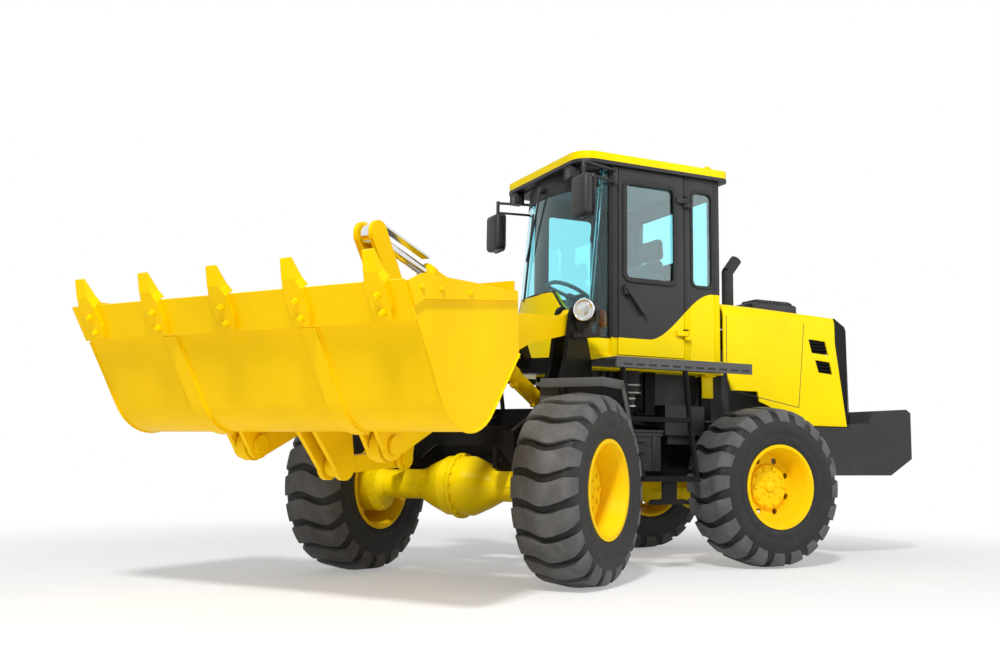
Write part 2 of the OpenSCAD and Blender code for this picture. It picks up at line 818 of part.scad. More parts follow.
module bucket() {
  w = 20;
  color(amber) bucket_frame() difference() {
    union() {
      plate(-side_y, side_y, concat([[lip_u, floor_v], [heel[0], floor_v]], arc(heel, heel_r, 270, 162.5, 16),
        [back_end, spill_top, [spill_top[0] + 10, spill_top[1] - 18], [236, 449]],
        arc(heel, heel_r - w, 162.5, 270, 16), [[lip_u, floor_v + w]]));
      both() plate(side_y - 2, side_y + 18, concat([[lip_u, floor_v]], arc(heel, heel_r, 270, 162.5, 16),
        [back_end, [455, 590]]));
      both() plate(side_y + 18, bucket_half, [[lip_u + 6, floor_v - 6], [lip_u - 10, floor_v + 110],
        [480, 580], [440, 560], [760, floor_v + 60], [760, floor_v - 6]]);
      // lugs on the boom arms
      both() for (y = [arm_in - 30, arm_out + 6]) {
        pin_y([0, 0], 70, y, y + 24);
        plate(y, y + 24, concat([[-20, -66], [-20, 66]], arc(heel, heel_r - 10, 150, 208, 8)));
      }
      // lugs of the link
      both() {
        pin_y(link_at, 70, 36, 62);
        plate(36, 62, concat([[-150, 19], [-200, 148], [173, 300]], arc(heel, heel_r - 10, 162.5, 196, 5)));
      }
      // wear strips
      both() plate(360, 440, concat([[700, floor_v], [700, floor_v - 14], [heel[0], floor_v - 14]],
        arc(heel, heel_r + 14, 270, 215, 8), arc(heel, heel_r - 4, 215, 270, 8)));
    }
    both() pin_y([0, 0], 32 + run, 300, 500);
  }
}

module cutting_edge() {
  b = floor_v - 22;
  color(steel) bucket_frame() plate(-side_y - 18, side_y + 18, [[705, b], [705, floor_v], [lip_u, floor_v],
    [cut_end, b + 10], [cut_end, b]]);
}

module teeth() {
  b = floor_v - 22;
  color(steel) bucket_frame() for (i = [-2:2]) translate([0, i * tooth_row / 2, 0]) union() {
    intersection() {
      plate(-48, 48, [[720, b - 24], [720, b], [cut_end + 2, b], [cut_end + 2, b + 32],
        [tip_u, b + 12], [tip_u, b], [930, b - 24]]);
      slab(b - 40, b + 60, [[720, -36], [780, -48], [cut_end, -48], [cut_end + 40, -34], [tip_u, -tip_half],
        [tip_u, tip_half], [cut_end + 40, 34], [cut_end, 48], [780, 48], [720, 36]]);
    }
    for (u = [755, 830]) translate([u, 0, b - 36]) cylinder(r = 18, h = 14, $fn = 24);
  }
}

// wheels, outboard side towards +Y

// how far the tread bars swing along the tread at the distance y from its middle
function wave(y) = let(t = 0.5 + y / tyre_width) 46 * sin(t * 540 - 60) * (1 - 0.45 * t);

module lug() {
  w = tyre_width / 2;
  pitch = tyre_od * PI / lugs;
  half = pitch * 0.36;
  across = [-w - 4, -w * 0.46, 0.16 * w, w + 4];
  slab(wheel_r - 90, wheel_r + 10, concat([for (y = across) [wave(y) - half, y]],
    [for (i = [3:-1:0]) [wave(across[i]) + half, across[i]]]));
}

module tyre() {
  w = tyre_width / 2;
  r = wheel_r;
  g = wheel_r - lug_height;
  b = rim_seat / 2 + 0.5;
  color(black) union() {
    rotate([-90, 0, 0]) rotate_extrude($fn = 96) polygon([[b, -w + 24], [b + 24, -w + 24], [b + 70, -w + 6],
      [b + 140, -w], [r - 80, -w + 2], [g, -w + 36], [g, w - 36], [r - 80, w - 2], [b + 140, w],
      [b + 70, w - 6], [b + 24, w - 24], [b, w - 24], [b, w - 44], [b + 40, w - 60], [b + 40, -w + 60],
      [b, -w + 44]]);
    intersection() {
      rotate([-90, 0, 0]) rotate_extrude($fn = 96) polygon([[g - 20, -w + 60], [r - 80, -w + 2], [r, -w + 34],
        [r, w - 34], [r - 80, w - 2], [g - 20, w - 60]]);
      union() for (i = [0:lugs - 1]) rotate([0, i * 360 / lugs, 0]) lug();
    }
  }
}

module rim() {
  s = rim_seat / 2;
  f = rim_flange / 2;
  color(amber) difference() {
    union() {
      rotate([-90, 0, 0]) rotate_extrude($fn = 72) polygon([[f, -180], [f, -167], [s, -166], [s, -70],
        [s - 26, -45], [s - 26, 45], [s, 70], [s, 166], [f, 167], [f, 180], [s, 180], [s - 14, 150],
        [s - 40, 40], [s - 40, 30], [150, 30], [140, 58], [0, 58], [0, -50], [140, -50], [150, 14],
        [s - 42, 14], [s - 42, -40], [s - 14, -150], [s, -180]]);
      for (i = [0:studs - 1]) rotate([0, i * 360 / studs, 0]) pin_y([118, 0], 13, 45, 70);
    }
    pin_y([0, 0], 70 + run, -80, 22);
    for (i = [0:7]) rotate([0, i * 45 + 22.5, 0]) pin_y([180, 0], 22, -20, 60);
  }
}

module wheel_at(x, side) {
  translate([x, side * wheel_y, wheel_r]) rotate([0, 0, side > 0 ? 0 : 180]) children();
}

module tyre_rear_left() {
  rear_half() wheel_at(-axle_reach, 1) tyre();
}

module rim_rear_left() {
  rear_half() wheel_at(-axle_reach, 1) rim();
}

module tyre_rear_right() {
  rear_half() wheel_at(-axle_reach, -1) tyre();
}

module rim_rear_right() {
  rear_half() wheel_at(-axle_reach, -1) rim();
}

module tyre_front_left() {
  front_half() wheel_at(axle_reach, 1) tyre();
}

module rim_front_left() {
  front_half() wheel_at(axle_reach, 1) rim();
}

module tyre_front_right() {
  front_half() wheel_at(axle_reach, -1) tyre();
}

module rim_front_right() {
  front_half() wheel_at(axle_reach, -1) rim();
}

rear_frame();
counterweight();
engine();
transmission();
rear_axle();
hood();
rear_grille();
exhaust();
air_cleaner();
cab_base();
cab_cowl();
cab_posts();
cab_panels();
cab_roof();
windscreen();
cab_glass();
seat();
steering_column();
running_boards();
ladders();
under_cab_units();
mirrors();
roof_lamps();
door_left();
door_left_glass();
door_right();
door_right_glass();
front_frame();
front_axle();
front_fenders();
headlamps();
steer_barrel_left();
steer_rod_left();
steer_barrel_right();
steer_rod_right();
boom();
lift_barrels();
lift_rods();
rocker_pin();
rocker();
bucket_link();
tilt_pin();
tilt_barrel();
tilt_rod();
bucket_pins();
bucket();
cutting_edge();
teeth();
tyre_rear_left();
rim_rear_left();
tyre_rear_right();
rim_rear_right();
tyre_front_left();
rim_front_left();
tyre_front_right();
rim_front_right();
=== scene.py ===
# %% [markdown]
# A small articulated wheel loader, dressed for its portrait. The solids were drawn in CAD and come in
# as a fixed frame, in metres. This lesson gives them light, paint, rubber and glass, and models the
# pieces that are too fine for CAD, one after the other.

# %% Load the solids
import json
import math
import bpy
from mathutils import Matrix, Vector


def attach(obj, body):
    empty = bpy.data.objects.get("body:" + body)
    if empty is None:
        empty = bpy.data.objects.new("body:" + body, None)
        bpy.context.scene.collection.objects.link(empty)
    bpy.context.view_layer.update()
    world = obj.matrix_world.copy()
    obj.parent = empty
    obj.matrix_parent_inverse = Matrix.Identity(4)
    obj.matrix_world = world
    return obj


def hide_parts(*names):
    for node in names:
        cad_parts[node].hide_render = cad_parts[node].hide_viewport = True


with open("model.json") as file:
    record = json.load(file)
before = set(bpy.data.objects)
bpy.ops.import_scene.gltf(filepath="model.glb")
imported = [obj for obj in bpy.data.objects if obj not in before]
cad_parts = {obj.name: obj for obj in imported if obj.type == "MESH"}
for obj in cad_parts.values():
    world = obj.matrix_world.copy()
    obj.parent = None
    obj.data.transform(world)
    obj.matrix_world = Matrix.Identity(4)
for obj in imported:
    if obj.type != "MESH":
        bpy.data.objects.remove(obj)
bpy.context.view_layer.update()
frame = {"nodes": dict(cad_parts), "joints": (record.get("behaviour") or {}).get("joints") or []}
solids = frame["nodes"]

# %% [markdown]
# The rear half and the front half of the machine meet at an upright pivot, and the photograph shows it
# steered to the left. Every new piece is modelled straight ahead of that pivot, in the half's own axes,
# and is then turned and set down with its half. The record of the joints says where the pivot is. Sizes
# that several lessons share, such as the height of the axles, are named here once.

# %% The two halves and the bucket
pivot_at = next(j["pos_m"] for j in frame["joints"] if j["name"] == "steer")
rear_half = Matrix.Translation((pivot_at[0], pivot_at[1], 0))
steered, rolled_back = 35, -58.5
bucket_pin = (2.550, 0, 0.745)
axle_reach, axle_height, half_track = 1.190, 0.530, 0.755


def swung(degrees, axis):
    return Matrix.Rotation(math.radians(degrees), 4, axis)


front_half = rear_half @ swung(steered, "Z")
bucket_axes = front_half @ Matrix.Translation(bucket_pin) @ swung(rolled_back, "Y")
ends = ((rear_half, -axle_reach, "rear"), (front_half, axle_reach, "front"))
print("pivot", [round(v, 4) for v in pivot_at])

# %% [markdown]
# The camera stands where the photograph was taken: low, off the left front corner, and tipped up a
# little. A plain perspective camera needs only its place, three angles and a focal length, so these are
# turned into its three axes by hand and nothing has to be aimed by trial.

# %% Camera
yaw = math.radians(244.322)
pitch = math.radians(6.817)
roll = math.radians(0.798)
ahead = Vector((math.cos(pitch) * math.cos(yaw), math.cos(pitch) * math.sin(yaw), math.sin(pitch)))
right = Vector((math.sin(yaw), -math.cos(yaw), 0))
up = right.cross(ahead)
camera_right = math.cos(roll) * right + math.sin(roll) * up
camera_up = math.cos(roll) * up - math.sin(roll) * right
bpy.ops.object.select_all(action="DESELECT")
bpy.ops.object.camera_add()
camera = bpy.context.object
camera.name = "photo_camera"
film_width, focal_pixels, picture_pixels = 36, 1038.781, 1000
camera.data.sensor_width = film_width
camera.data.lens = film_width * focal_pixels / picture_pixels
turn = Matrix((camera_right, camera_up, -ahead)).transposed().to_4x4()
stand = (pivot_at[0] + 3.456, pivot_at[1] + 6.318, 0.698)
camera.matrix_world = Matrix.Translation(stand) @ turn
bpy.context.scene.camera = camera
print("camera at", [round(v, 3) for v in camera.matrix_world.translation])

# %% [markdown]
# A finish is a Principled shader with a few textures in front of it. Each texture reads Object coordinates,
# which are metres on this machine, so a grain of 2 mm is 2 mm on every piece. These small helpers add one
# node each and return its output, which keeps the recipes below short enough to read.

# %% Helpers for finishes
def new_finish(name, **sockets):
    finish = bpy.data.materials.new(name)
    finish.use_nodes = True
    shader = finish.node_tree.nodes["Principled BSDF"]
    for socket, value in sockets.items():
        shader.inputs[socket.replace("_", " ")].default_value = value
    return finish, finish.node_tree, shader


def object_place(tree, stretch=(1, 1, 1)):
    coordinate = tree.nodes.new("ShaderNodeTexCoord")
    mapping = tree.nodes.new("ShaderNodeMapping")
    mapping.inputs["Scale"].default_value = stretch
    tree.links.new(coordinate.outputs["Object"], mapping.inputs["Vector"])
    return mapping.outputs["Vector"]


def grain(tree, place, scale, detail=3.0, rough=0.55):
    noise = tree.nodes.new("ShaderNodeTexNoise")
    noise.inputs["Scale"].default_value = scale
    noise.inputs["Detail"].default_value = detail
    noise.inputs["Roughness"].default_value = rough
    tree.links.new(place, noise.inputs["Vector"])
    return noise.outputs["Fac"]


def remap(tree, value, low, high, to_low, to_high, kind="LINEAR"):
    node = tree.nodes.new("ShaderNodeMapRange")
    node.interpolation_type = kind
    ends = {"From Min": low, "From Max": high, "To Min": to_low, "To Max": to_high}
    for socket, number in ends.items():
        node.inputs[socket].default_value = number
    tree.links.new(value, node.inputs["Value"])
    return node.outputs["Result"]


def speckle(tree, place, scale, low, high, detail=3.0):
    return remap(tree, grain(tree, place, scale, detail), 0.3, 0.7, low, high)


def blend_colour(tree, share, first, second):
    node = tree.nodes.new("ShaderNodeMix")
    node.data_type = "RGBA"
    tree.links.new(share, node.inputs["Factor"])
    for socket, colour in (("A", first), ("B", second)):
        target = next(s for s in node.inputs if s.name == socket and s.type == "RGBA")
        if isinstance(colour, tuple):
            target.default_value = (*colour, 1)
        else:
            tree.links.new(colour, target)
    return next(s for s in node.outputs if s.type == "RGBA")


def combine(tree, operation, first, second):
    node = tree.nodes.new("ShaderNodeMath")
    node.operation = operation
    node.use_clamp = True
    for socket, value in zip(node.inputs, (first, second)):
        if isinstance(value, float):
            socket.default_value = value
        else:
            tree.links.new(value, socket)
    return node.outputs[0]


def looked_at(tree):
    path = tree.nodes.new("ShaderNodeLightPath").outputs
    direct = combine(tree, "MAXIMUM", path["Is Camera Ray"], path["Is Glossy Ray"])
    return combine(tree, "MAXIMUM", direct, path["Is Transmission Ray"])


def surface(tree, shader, colour, rough):
    tree.links.new(colour, shader.inputs["Base Color"])
    tree.links.new(rough, shader.inputs["Roughness"])


def emboss(tree, shader, height, strength, depth, edge=0.0):
    bump = tree.nodes.new("ShaderNodeBump")
    bump.inputs["Strength"].default_value = strength
    bump.inputs["Distance"].default_value = depth
    tree.links.new(height, bump.inputs["Height"])
    if edge:
        soft = tree.nodes.new("ShaderNodeBevel")
        soft.samples = 4
        soft.inputs["Radius"].default_value = edge
        tree.links.new(soft.outputs["Normal"], bump.inputs["Normal"])
    tree.links.new(bump.outputs["Normal"], shader.inputs["Normal"])


print("finish helpers ready")

# %% [markdown]
# A studio has a pale floor and even light. The world gives the even part, a small strong lamp high behind
# the camera gives the shape, and a wide weak one from the right fills the shadows. The camera, mirrors and
# glass see the world as white, while the machine is lit by a weaker version of it, so the colours come out
# as they are written.

# %% World, lamps and floor
scene = bpy.context.scene
scene.view_settings.view_transform = "Standard"
world = bpy.data.worlds.new("studio")
scene.world = world
world.use_nodes = True
sky = world.node_tree
seen = sky.nodes.new("ShaderNodeBackground")
seen.inputs["Color"].default_value = (1, 1, 1, 1)
lit = sky.nodes["Background"]
lit.inputs["Color"].default_value = (0.96, 0.98, 1, 1)
lit.inputs["Strength"].default_value = 0.36
choose = sky.nodes.new("ShaderNodeMixShader")
sky.links.new(looked_at(sky), choose.inputs["Fac"])
sky.links.new(lit.outputs[0], choose.inputs[1])
sky.links.new(seen.outputs[0], choose.inputs[2])
sky.links.new(choose.outputs[0], sky.nodes["World Output"].inputs["Surface"])


def lamp(name, at, aim, size, watts):
    bpy.ops.object.select_all(action="DESELECT")
    bpy.ops.object.light_add(type="AREA", location=at)
    light = bpy.context.object
    light.name = name
    light.data.size = size
    light.data.energy = watts
    light.rotation_euler = (Vector(aim) - Vector(at)).to_track_quat("-Z", "Y").to_euler()
    return light


lamp("key_lamp", at=(5.3, 7.2, 8.8), aim=(0, 0, 1), size=1.2, watts=1150)
lamp("fill_lamp", at=(-7.5, 6.5, 4.5), aim=(-0.5, 0, 1), size=5, watts=260)
bpy.ops.object.select_all(action="DESELECT")
bpy.ops.mesh.primitive_grid_add(x_subdivisions=8, y_subdivisions=8, size=120, location=(0, 0, 0))
floor = bpy.context.object
floor.name = "studio_floor"
print("world, two lamps and a floor")

# %% [markdown]
# Machine paint is smooth, a little uneven like the skin of an orange, and carries a breath of dust where it
# faces up and near the ground. One recipe makes every coat on the loader: two yellows and four tones from
# grey to black differ only in colour, gloss and how dusty they are. A small edge radius catches the light
# on sheet corners that the solids leave sharp.

# %% Paint
def dust_mask(tree, place, most):
    geometry = tree.nodes.new("ShaderNodeNewGeometry")
    facing = tree.nodes.new("ShaderNodeSeparateXYZ")
    tree.links.new(geometry.outputs["Normal"], facing.inputs["Vector"])
    level = tree.nodes.new("ShaderNodeSeparateXYZ")
    tree.links.new(place, level.inputs["Vector"])
    on_top = remap(tree, facing.outputs["Z"], 0.5, 1.0, 0.0, most)
    low_down = remap(tree, level.outputs["Z"], 0.2, 1.1, most, 0.0)
    patches = remap(tree, grain(tree, place, 7.0, 6.0, 0.65), 0.35, 0.75, 0.2, 1.0)
    return combine(tree, "MULTIPLY", combine(tree, "MAXIMUM", on_top, low_down), patches)


def sprayed(name):
    finish, tree, shader = new_finish(name, Coat_Weight=0.03, Coat_Roughness=0.10,
                                      Specular_IOR_Level=0.05)
    place = object_place(tree)
    emboss(tree, shader, grain(tree, place, 420.0, 1.0), 0.05, 0.0008, edge=0.004)
    return finish, tree, shader, place, speckle(tree, place, 1.6, 0.0, 1.0, 4.0)


def paint(name, colour, gloss, dusty):
    finish, tree, shader, place, slow = sprayed(name)
    deep = tuple(0.90 * c for c in colour)
    light = tuple(min(1.0, 1.04 * c) for c in colour)
    dust = dust_mask(tree, place, dusty)
    shade = blend_colour(tree, dust, blend_colour(tree, slow, deep, light), (0.42, 0.37, 0.28))
    uneven = speckle(tree, place, 38.0, gloss - 0.05, gloss + 0.09)
    dulled = combine(tree, "MULTIPLY", dust, 0.4)
    surface(tree, shader, shade, combine(tree, "ADD", uneven, dulled))
    return finish


lemon_paint = paint("lemon_paint", (0.95, 0.71, 0.0), gloss=0.32, dusty=0.04)
amber_paint = paint("amber_paint", (0.96, 0.60, 0.0), gloss=0.38, dusty=0.05)
graphite_paint = paint("graphite_paint", (0.046, 0.046, 0.046), gloss=0.42, dusty=0.06)
slate_paint = paint("slate_paint", (0.10, 0.10, 0.10), gloss=0.45, dusty=0.05)
black_paint = paint("black_paint", (0.008, 0.008, 0.008), gloss=0.38, dusty=0.03)
grey_paint = paint("grey_paint", (0.16, 0.165, 0.17), gloss=0.45, dusty=0.08)
print("six coats of paint")

# %% [markdown]
# The cab is sprayed in two colours: yellow below, graphite above, parted by a line that swings up in an S
# from the door to the rear corner. A mask in the material draws it exactly. The line's height is a smooth
# step along the cab, and whatever lies above it takes the second colour.

# %% Two-tone cab paint
def two_tone(name):
    finish, tree, shader, place, slow = sprayed(name)
    axes = tree.nodes.new("ShaderNodeSeparateXYZ")
    tree.links.new(place, axes.inputs["Vector"])
    rear_end, front_end = pivot_at[0] - 0.95, pivot_at[0] - 0.42
    line = remap(tree, axes.outputs["X"], rear_end, front_end, 1.835, 1.490, "SMOOTHSTEP")
    gap = tree.nodes.new("ShaderNodeMath")
    gap.operation = "SUBTRACT"
    tree.links.new(axes.outputs["Z"], gap.inputs[0])
    tree.links.new(line, gap.inputs[1])
    above = remap(tree, gap.outputs[0], -0.0015, 0.0015, 0.0, 1.0)
    yellow = blend_colour(tree, slow, (0.88, 0.66, 0.0), (0.97, 0.73, 0.0))
    graphite = blend_colour(tree, slow, (0.038, 0.038, 0.038), (0.046, 0.046, 0.046))
    coat = blend_colour(tree, above, yellow, graphite)
    surface(tree, shader, coat, speckle(tree, place, 38.0, 0.26, 0.42))
    return finish


cab_paint = two_tone("cab_two_tone_paint")
print("two-tone paint for the doors and panels")

# %% [markdown]
# Tyre rubber is almost black, dull, and greyed by dried dust in its low places. Moulded plastic and vinyl
# are the same idea with a finer, harder grain. The bump does most of the work here, because these surfaces
# are told apart by how they break up a highlight.

# %% Rubber, plastic and vinyl
def dull_black(name, colour, dusty, rough, cell, depth):
    finish, tree, shader = new_finish(name, Specular_IOR_Level=0.35)
    place = object_place(tree)
    bloom = remap(tree, grain(tree, place, 9.0, 6.0, 0.6), 0.4, 0.75, 0.0, 0.7)
    uneven = speckle(tree, place, 55.0, rough - 0.08, rough + 0.08)
    surface(tree, shader, blend_colour(tree, bloom, colour, dusty), uneven)
    cells = tree.nodes.new("ShaderNodeTexVoronoi")
    cells.inputs["Scale"].default_value = cell
    tree.links.new(place, cells.inputs["Vector"])
    emboss(tree, shader, cells.outputs["Distance"], 0.35, depth)
    return finish


def tone(level):
    return (level, level, level)


tyre_rubber = dull_black("tyre_rubber", tone(0.009), tone(0.020), 0.60, 240.0, 0.0008)
# The tread's grey is lighter than the walls as painted light: it stands for the sun on the tread, with
# patches of dust on top.
tread_rubber_painted_lit = dull_black("tread_rubber_painted_lit", tone(0.075), (0.150, 0.148, 0.145), 0.70, 180.0, 0.0012)
seal_rubber = dull_black("seal_rubber", tone(0.012), tone(0.022), 0.60, 500.0, 0.0005)
black_plastic = dull_black("black_plastic", (0.016, 0.016, 0.017), tone(0.028), 0.50, 700.0, 0.0004)
grey_plastic = dull_black("grey_plastic", (0.075, 0.077, 0.08), tone(0.10), 0.55, 700.0, 0.0004)
seat_vinyl = dull_black("seat_vinyl", (0.020, 0.020, 0.021), tone(0.030), 0.48, 320.0, 0.0012)
print("rubber, plastic and vinyl")

# %% [markdown]
# Bare metal shows its making: a hard-chromed rod is ground round, so its scratches are fine and its gloss
# is nearly a mirror's, while pins are rolled steel with a patchy brown skin.

# %% Bare metal
def bare_metal(name, colour, stain, rough, spread):
    finish, tree, shader = new_finish(name, Metallic=1.0)
    place = object_place(tree)
    patches = remap(tree, grain(tree, place, 14.0, 6.0, 0.65), 0.4, 0.72, 0.0, 1.0)
    uneven = speckle(tree, place, 90.0, rough, rough + spread)
    surface(tree, shader, blend_colour(tree, patches, colour, stain), uneven)
    emboss(tree, shader, grain(tree, place, 600.0, 2.0), 0.04, 0.0005, 0.003)
    return finish


chromed_rod = bare_metal("chromed_rod", (0.80, 0.81, 0.82), (0.72, 0.73, 0.74), 0.06, 0.05)
pin_steel = bare_metal("pin_steel", (0.46, 0.45, 0.43), (0.30, 0.27, 0.23), 0.32, 0.16)
print("chrome and steel")

# %% [markdown]
# The cab's panes are tinted blue-green through the glass itself. A pane here is a real 6 mm plate, so the
# shader only needs transmission with a tint. Faint wiping marks in the roughness keep it from looking like
# a hole.

# %% Glass
def pane(name, tint, smear):
    finish, tree, shader = new_finish(name, Transmission_Weight=1.0, IOR=1.45, Specular_IOR_Level=0.5)
    place = object_place(tree)
    wiped = grain(tree, object_place(tree, (1.0, 1.0, 6.0)), 5.0, 5.0, 0.6)
    slow = speckle(tree, place, 2.0, 0.0, 1.0)
    pale = tuple(min(1.0, 1.03 * c) for c in tint)
    marks = remap(tree, wiped, 0.45, 0.8, 0.0, smear)
    surface(tree, shader, blend_colour(tree, slow, tint, pale), marks)
    return finish


tinted_glass = pane("tinted_glass", (0.50, 0.91, 0.97), 0.03)
headlamp_glass = pane("headlamp_glass", (0.95, 0.97, 0.98), 0.06)
amber_lens = pane("amber_lens", (0.95, 0.30, 0.02), 0.12)
print("tinted panes and lamp glass")

# %% [markdown]
# Now every solid gets its coat. The lists follow the photograph: body sheet and axles in lemon, the loader
# and the rims in a warmer amber, the counterweight in graphite, boards and front guards in slate, and
# frames and ladders in black.

# %% Finish the solids
coats = {
    # The axles take the lemon coat partly as painted light: it is their yellow, made brighter to stand for
    # the sun that falls on them.
    lemon_paint: "hood cab_base cab_cowl cab_roof rear_axle front_axle",
    cab_paint: "door_left door_right cab_panels cab_posts",
    # The rims take the warmer amber partly as painted shade: it is their yellow, turned towards the orange
    # that shade and bounce light give inside the rims.
    amber_paint: "bucket_pins bucket cutting_edge teeth boom rocker bucket_link lift_barrels "
                 "tilt_barrel transmission rim_rear_left rim_rear_right rim_front_left rim_front_right",
    graphite_paint: "counterweight exhaust steer_barrel_left steer_barrel_right",
    slate_paint: "front_fenders running_boards",
    black_paint: "rear_frame front_frame ladders rear_grille",
    grey_paint: "engine steering_column",
    black_plastic: "air_cleaner mirrors roof_lamps headlamps under_cab_units",
    seat_vinyl: "seat",
    chromed_rod: "tilt_rod lift_rods steer_rod_left steer_rod_right",
    pin_steel: "rocker_pin tilt_pin",
    tinted_glass: "windscreen cab_glass door_left_glass door_right_glass",
    tyre_rubber: "tyre_rear_left tyre_rear_right tyre_front_left tyre_front_right",
}
for finish, names in coats.items():
    for name in names.split():
        for slot in solids[name].material_slots:
            slot.material = finish
print("coated", sum(len(names.split()) for names in coats.values()), "of", len(solids))

# %% [markdown]
# The studio floor is matt and almost white. Far away from the machine it melts into the background: a mask
# that grows with the distance from the middle hands over to plain white for what the camera sees, while
# the floor under the machine keeps its soft shadow.

# %% Floor finish
matt_floor, tree, shader = new_finish("matt_floor", Roughness=0.9, Specular_IOR_Level=0.1)
place = object_place(tree)
mottle = speckle(tree, place, 3.0, 0.0, 1.0)
tree.links.new(blend_colour(tree, mottle, tone(0.93), tone(0.95)), shader.inputs["Base Color"])
away = tree.nodes.new("ShaderNodeVectorMath")
away.operation = "LENGTH"
tree.links.new(place, away.inputs[0])
near_edge, far_edge = 2.6, 6.5
far = remap(tree, away.outputs["Value"], near_edge, far_edge, 0.35, 1.0, "SMOOTHSTEP")
white = tree.nodes.new("ShaderNodeEmission")
melt = tree.nodes.new("ShaderNodeMixShader")
tree.links.new(combine(tree, "MULTIPLY", far, looked_at(tree)), melt.inputs["Fac"])
tree.links.new(shader.outputs[0], melt.inputs[1])
tree.links.new(white.outputs[0], melt.inputs[2])
tree.links.new(melt.outputs[0], tree.nodes["Material Output"].inputs["Surface"])
floor.data.materials.append(matt_floor)
print("floor finished")

# %% [markdown]
# Every new piece goes through the same few steps: clear the selection, add a primitive, shape it, set it
# down with its half of the machine, and give it a finish and a body to ride on. These helpers hold those
# steps, so that each lesson below shows only the shaping.

# %% Helpers for pieces
def edit_all():
    bpy.ops.object.mode_set(mode="EDIT")
    bpy.ops.mesh.select_all(action="SELECT")


def edit_done():
    bpy.ops.object.mode_set(mode="OBJECT")


def clear():
    if bpy.context.mode != "OBJECT":
        edit_done()
    bpy.ops.object.select_all(action="DESELECT")


def pick(*pieces):
    clear()
    for piece in pieces:
        piece.select_set(True)
    bpy.context.view_layer.objects.active = pieces[-1]


def apply_place():
    bpy.ops.object.transform_apply(location=True, rotation=True, scale=True)


def modify(piece, kind, **settings):
    pick(piece)
    modifier = piece.modifiers.new(kind.lower(), kind)
    for key, value in settings.items():
        setattr(modifier, key, value)
    bpy.ops.object.modifier_apply(modifier=modifier.name)


def soften(piece, width, segments, degrees):
    modify(piece, "BEVEL", width=width, segments=segments, limit_method="ANGLE",
           angle_limit=math.radians(degrees))


def row(piece, count, step):
    modify(piece, "ARRAY", count=count, use_relative_offset=False, use_constant_offset=True,
           constant_offset_displace=step)


def mend_normals(piece):
    pick(piece)
    edit_all()
    bpy.ops.mesh.remove_doubles(threshold=0.00002)
    bpy.ops.mesh.normals_make_consistent(inside=False)
    edit_done()


def settle(piece, axes):
    pick(piece)
    piece.matrix_world = axes @ piece.matrix_world
    apply_place()


def copy_of(piece):
    pick(piece)
    bpy.ops.object.duplicate(linked=False)
    return bpy.context.object


def joined(*pieces):
    pick(*pieces)
    bpy.ops.object.join()
    return bpy.context.object


def dress(piece, name, body, finish, angle=35):
    pick(piece)
    piece.name = name
    piece.data.name = name
    piece.data.materials.clear()
    piece.data.materials.append(finish)
    bpy.ops.object.shade_smooth_by_angle(angle=math.radians(angle))
    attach(piece, body)


def set_down(piece, axes, name, body, finish, slot=None, angle=35):
    settle(piece, axes)
    dress(piece, name, body, finish, angle)


print("piece helpers ready")

# %% [markdown]
# A loader tyre is a smooth body with thick rubber bars on it. The body is a ring, so its cross-section is
# drawn once and spun about the axle. The section starts as a circle of points, and each point is moved to
# its place on the wall: bead, bulge, shoulder and the bottom of the grooves.

# %% Tyre body
half_wall = [(-0.150, 0.300), (-0.164, 0.258), (-0.174, 0.268), (-0.180, 0.300), (-0.186, 0.325),
             (-0.184, 0.331), (-0.189, 0.350), (-0.190, 0.385), (-0.188, 0.420), (-0.181, 0.452),
             (-0.166, 0.478), (-0.140, 0.494), (-0.080, 0.498)]
other_half = [(-across, radius) for across, radius in reversed(half_wall)]
tyre_wall = half_wall + [(0.0, 0.500)] + other_half
clear()
bpy.ops.mesh.primitive_circle_add(vertices=len(tyre_wall), radius=0.2)
tyre_body = bpy.context.object
for vertex, (across, radius) in zip(tyre_body.data.vertices, tyre_wall):
    vertex.co = (0, across, radius)
edit_all()
bpy.ops.mesh.spin(steps=96, angle=2 * math.pi, center=(0, 0, 0), axis=(0, 1, 0))
edit_done()
mend_normals(tyre_body)
print("tyre body", len(tyre_body.data.polygons), "faces")

# %% [markdown]
# The bars run right across the tread in a lazy S and bend down over both shoulders. One bar starts as a
# flat grid. Its rows are laid along the S, its points are wrapped onto the tread, and a thickness and a
# small bevel make it a block of rubber. The groove between two bars is a quarter of their spacing.

# %% One tread bar
bars = 20
bar_turn = 2 * math.pi / bars
swing = [(-1.0, -0.012), (-0.75, 0.012), (-0.55, 0.022), (-0.35, 0.016), (-0.05, -0.012),
         (0.1, -0.018), (0.3, -0.012), (0.65, 0.016), (1.0, 0.040)]
crown = [(0.0, 0.000, 0.530), (0.10, 0.022, 0.529), (0.66, 0.148, 0.513), (0.72, 0.160, 0.507),
         (0.84, 0.182, 0.470), (1.0, 0.1905, 0.428)]
tread_radius = crown[0][2]
bar_share, bar_taper = 0.72, 0.16


def along_list(points, at):
    for first, last in zip(points, points[1:]):
        if at <= last[0]:
            share = (at - first[0]) / (last[0] - first[0])
            return [a + share * (b - a) for a, b in zip(first[1:], last[1:])]
    return list(points[-1][1:])


clear()
bpy.ops.mesh.primitive_grid_add(x_subdivisions=40, y_subdivisions=4, size=2)
bar = bpy.context.object
for vertex in bar.data.vertices:
    t, width = vertex.co.x, vertex.co.y
    across, radius = along_list(crown, abs(t))
    shift = along_list(swing, t)[0]
    narrow = bar_share - bar_taper * max(0.0, abs(t) - 0.6) / 0.4
    angle = 0.5 * width * narrow * bar_turn - shift / tread_radius
    across = math.copysign(across, t)
    vertex.co = (radius * math.sin(angle), across, radius * math.cos(angle))
mend_normals(bar)
modify(bar, "SOLIDIFY", thickness=0.042, offset=-1.0)
soften(bar, 0.003, 2, 40)
mend_normals(bar)
print("one bar", len(bar.data.polygons), "faces")
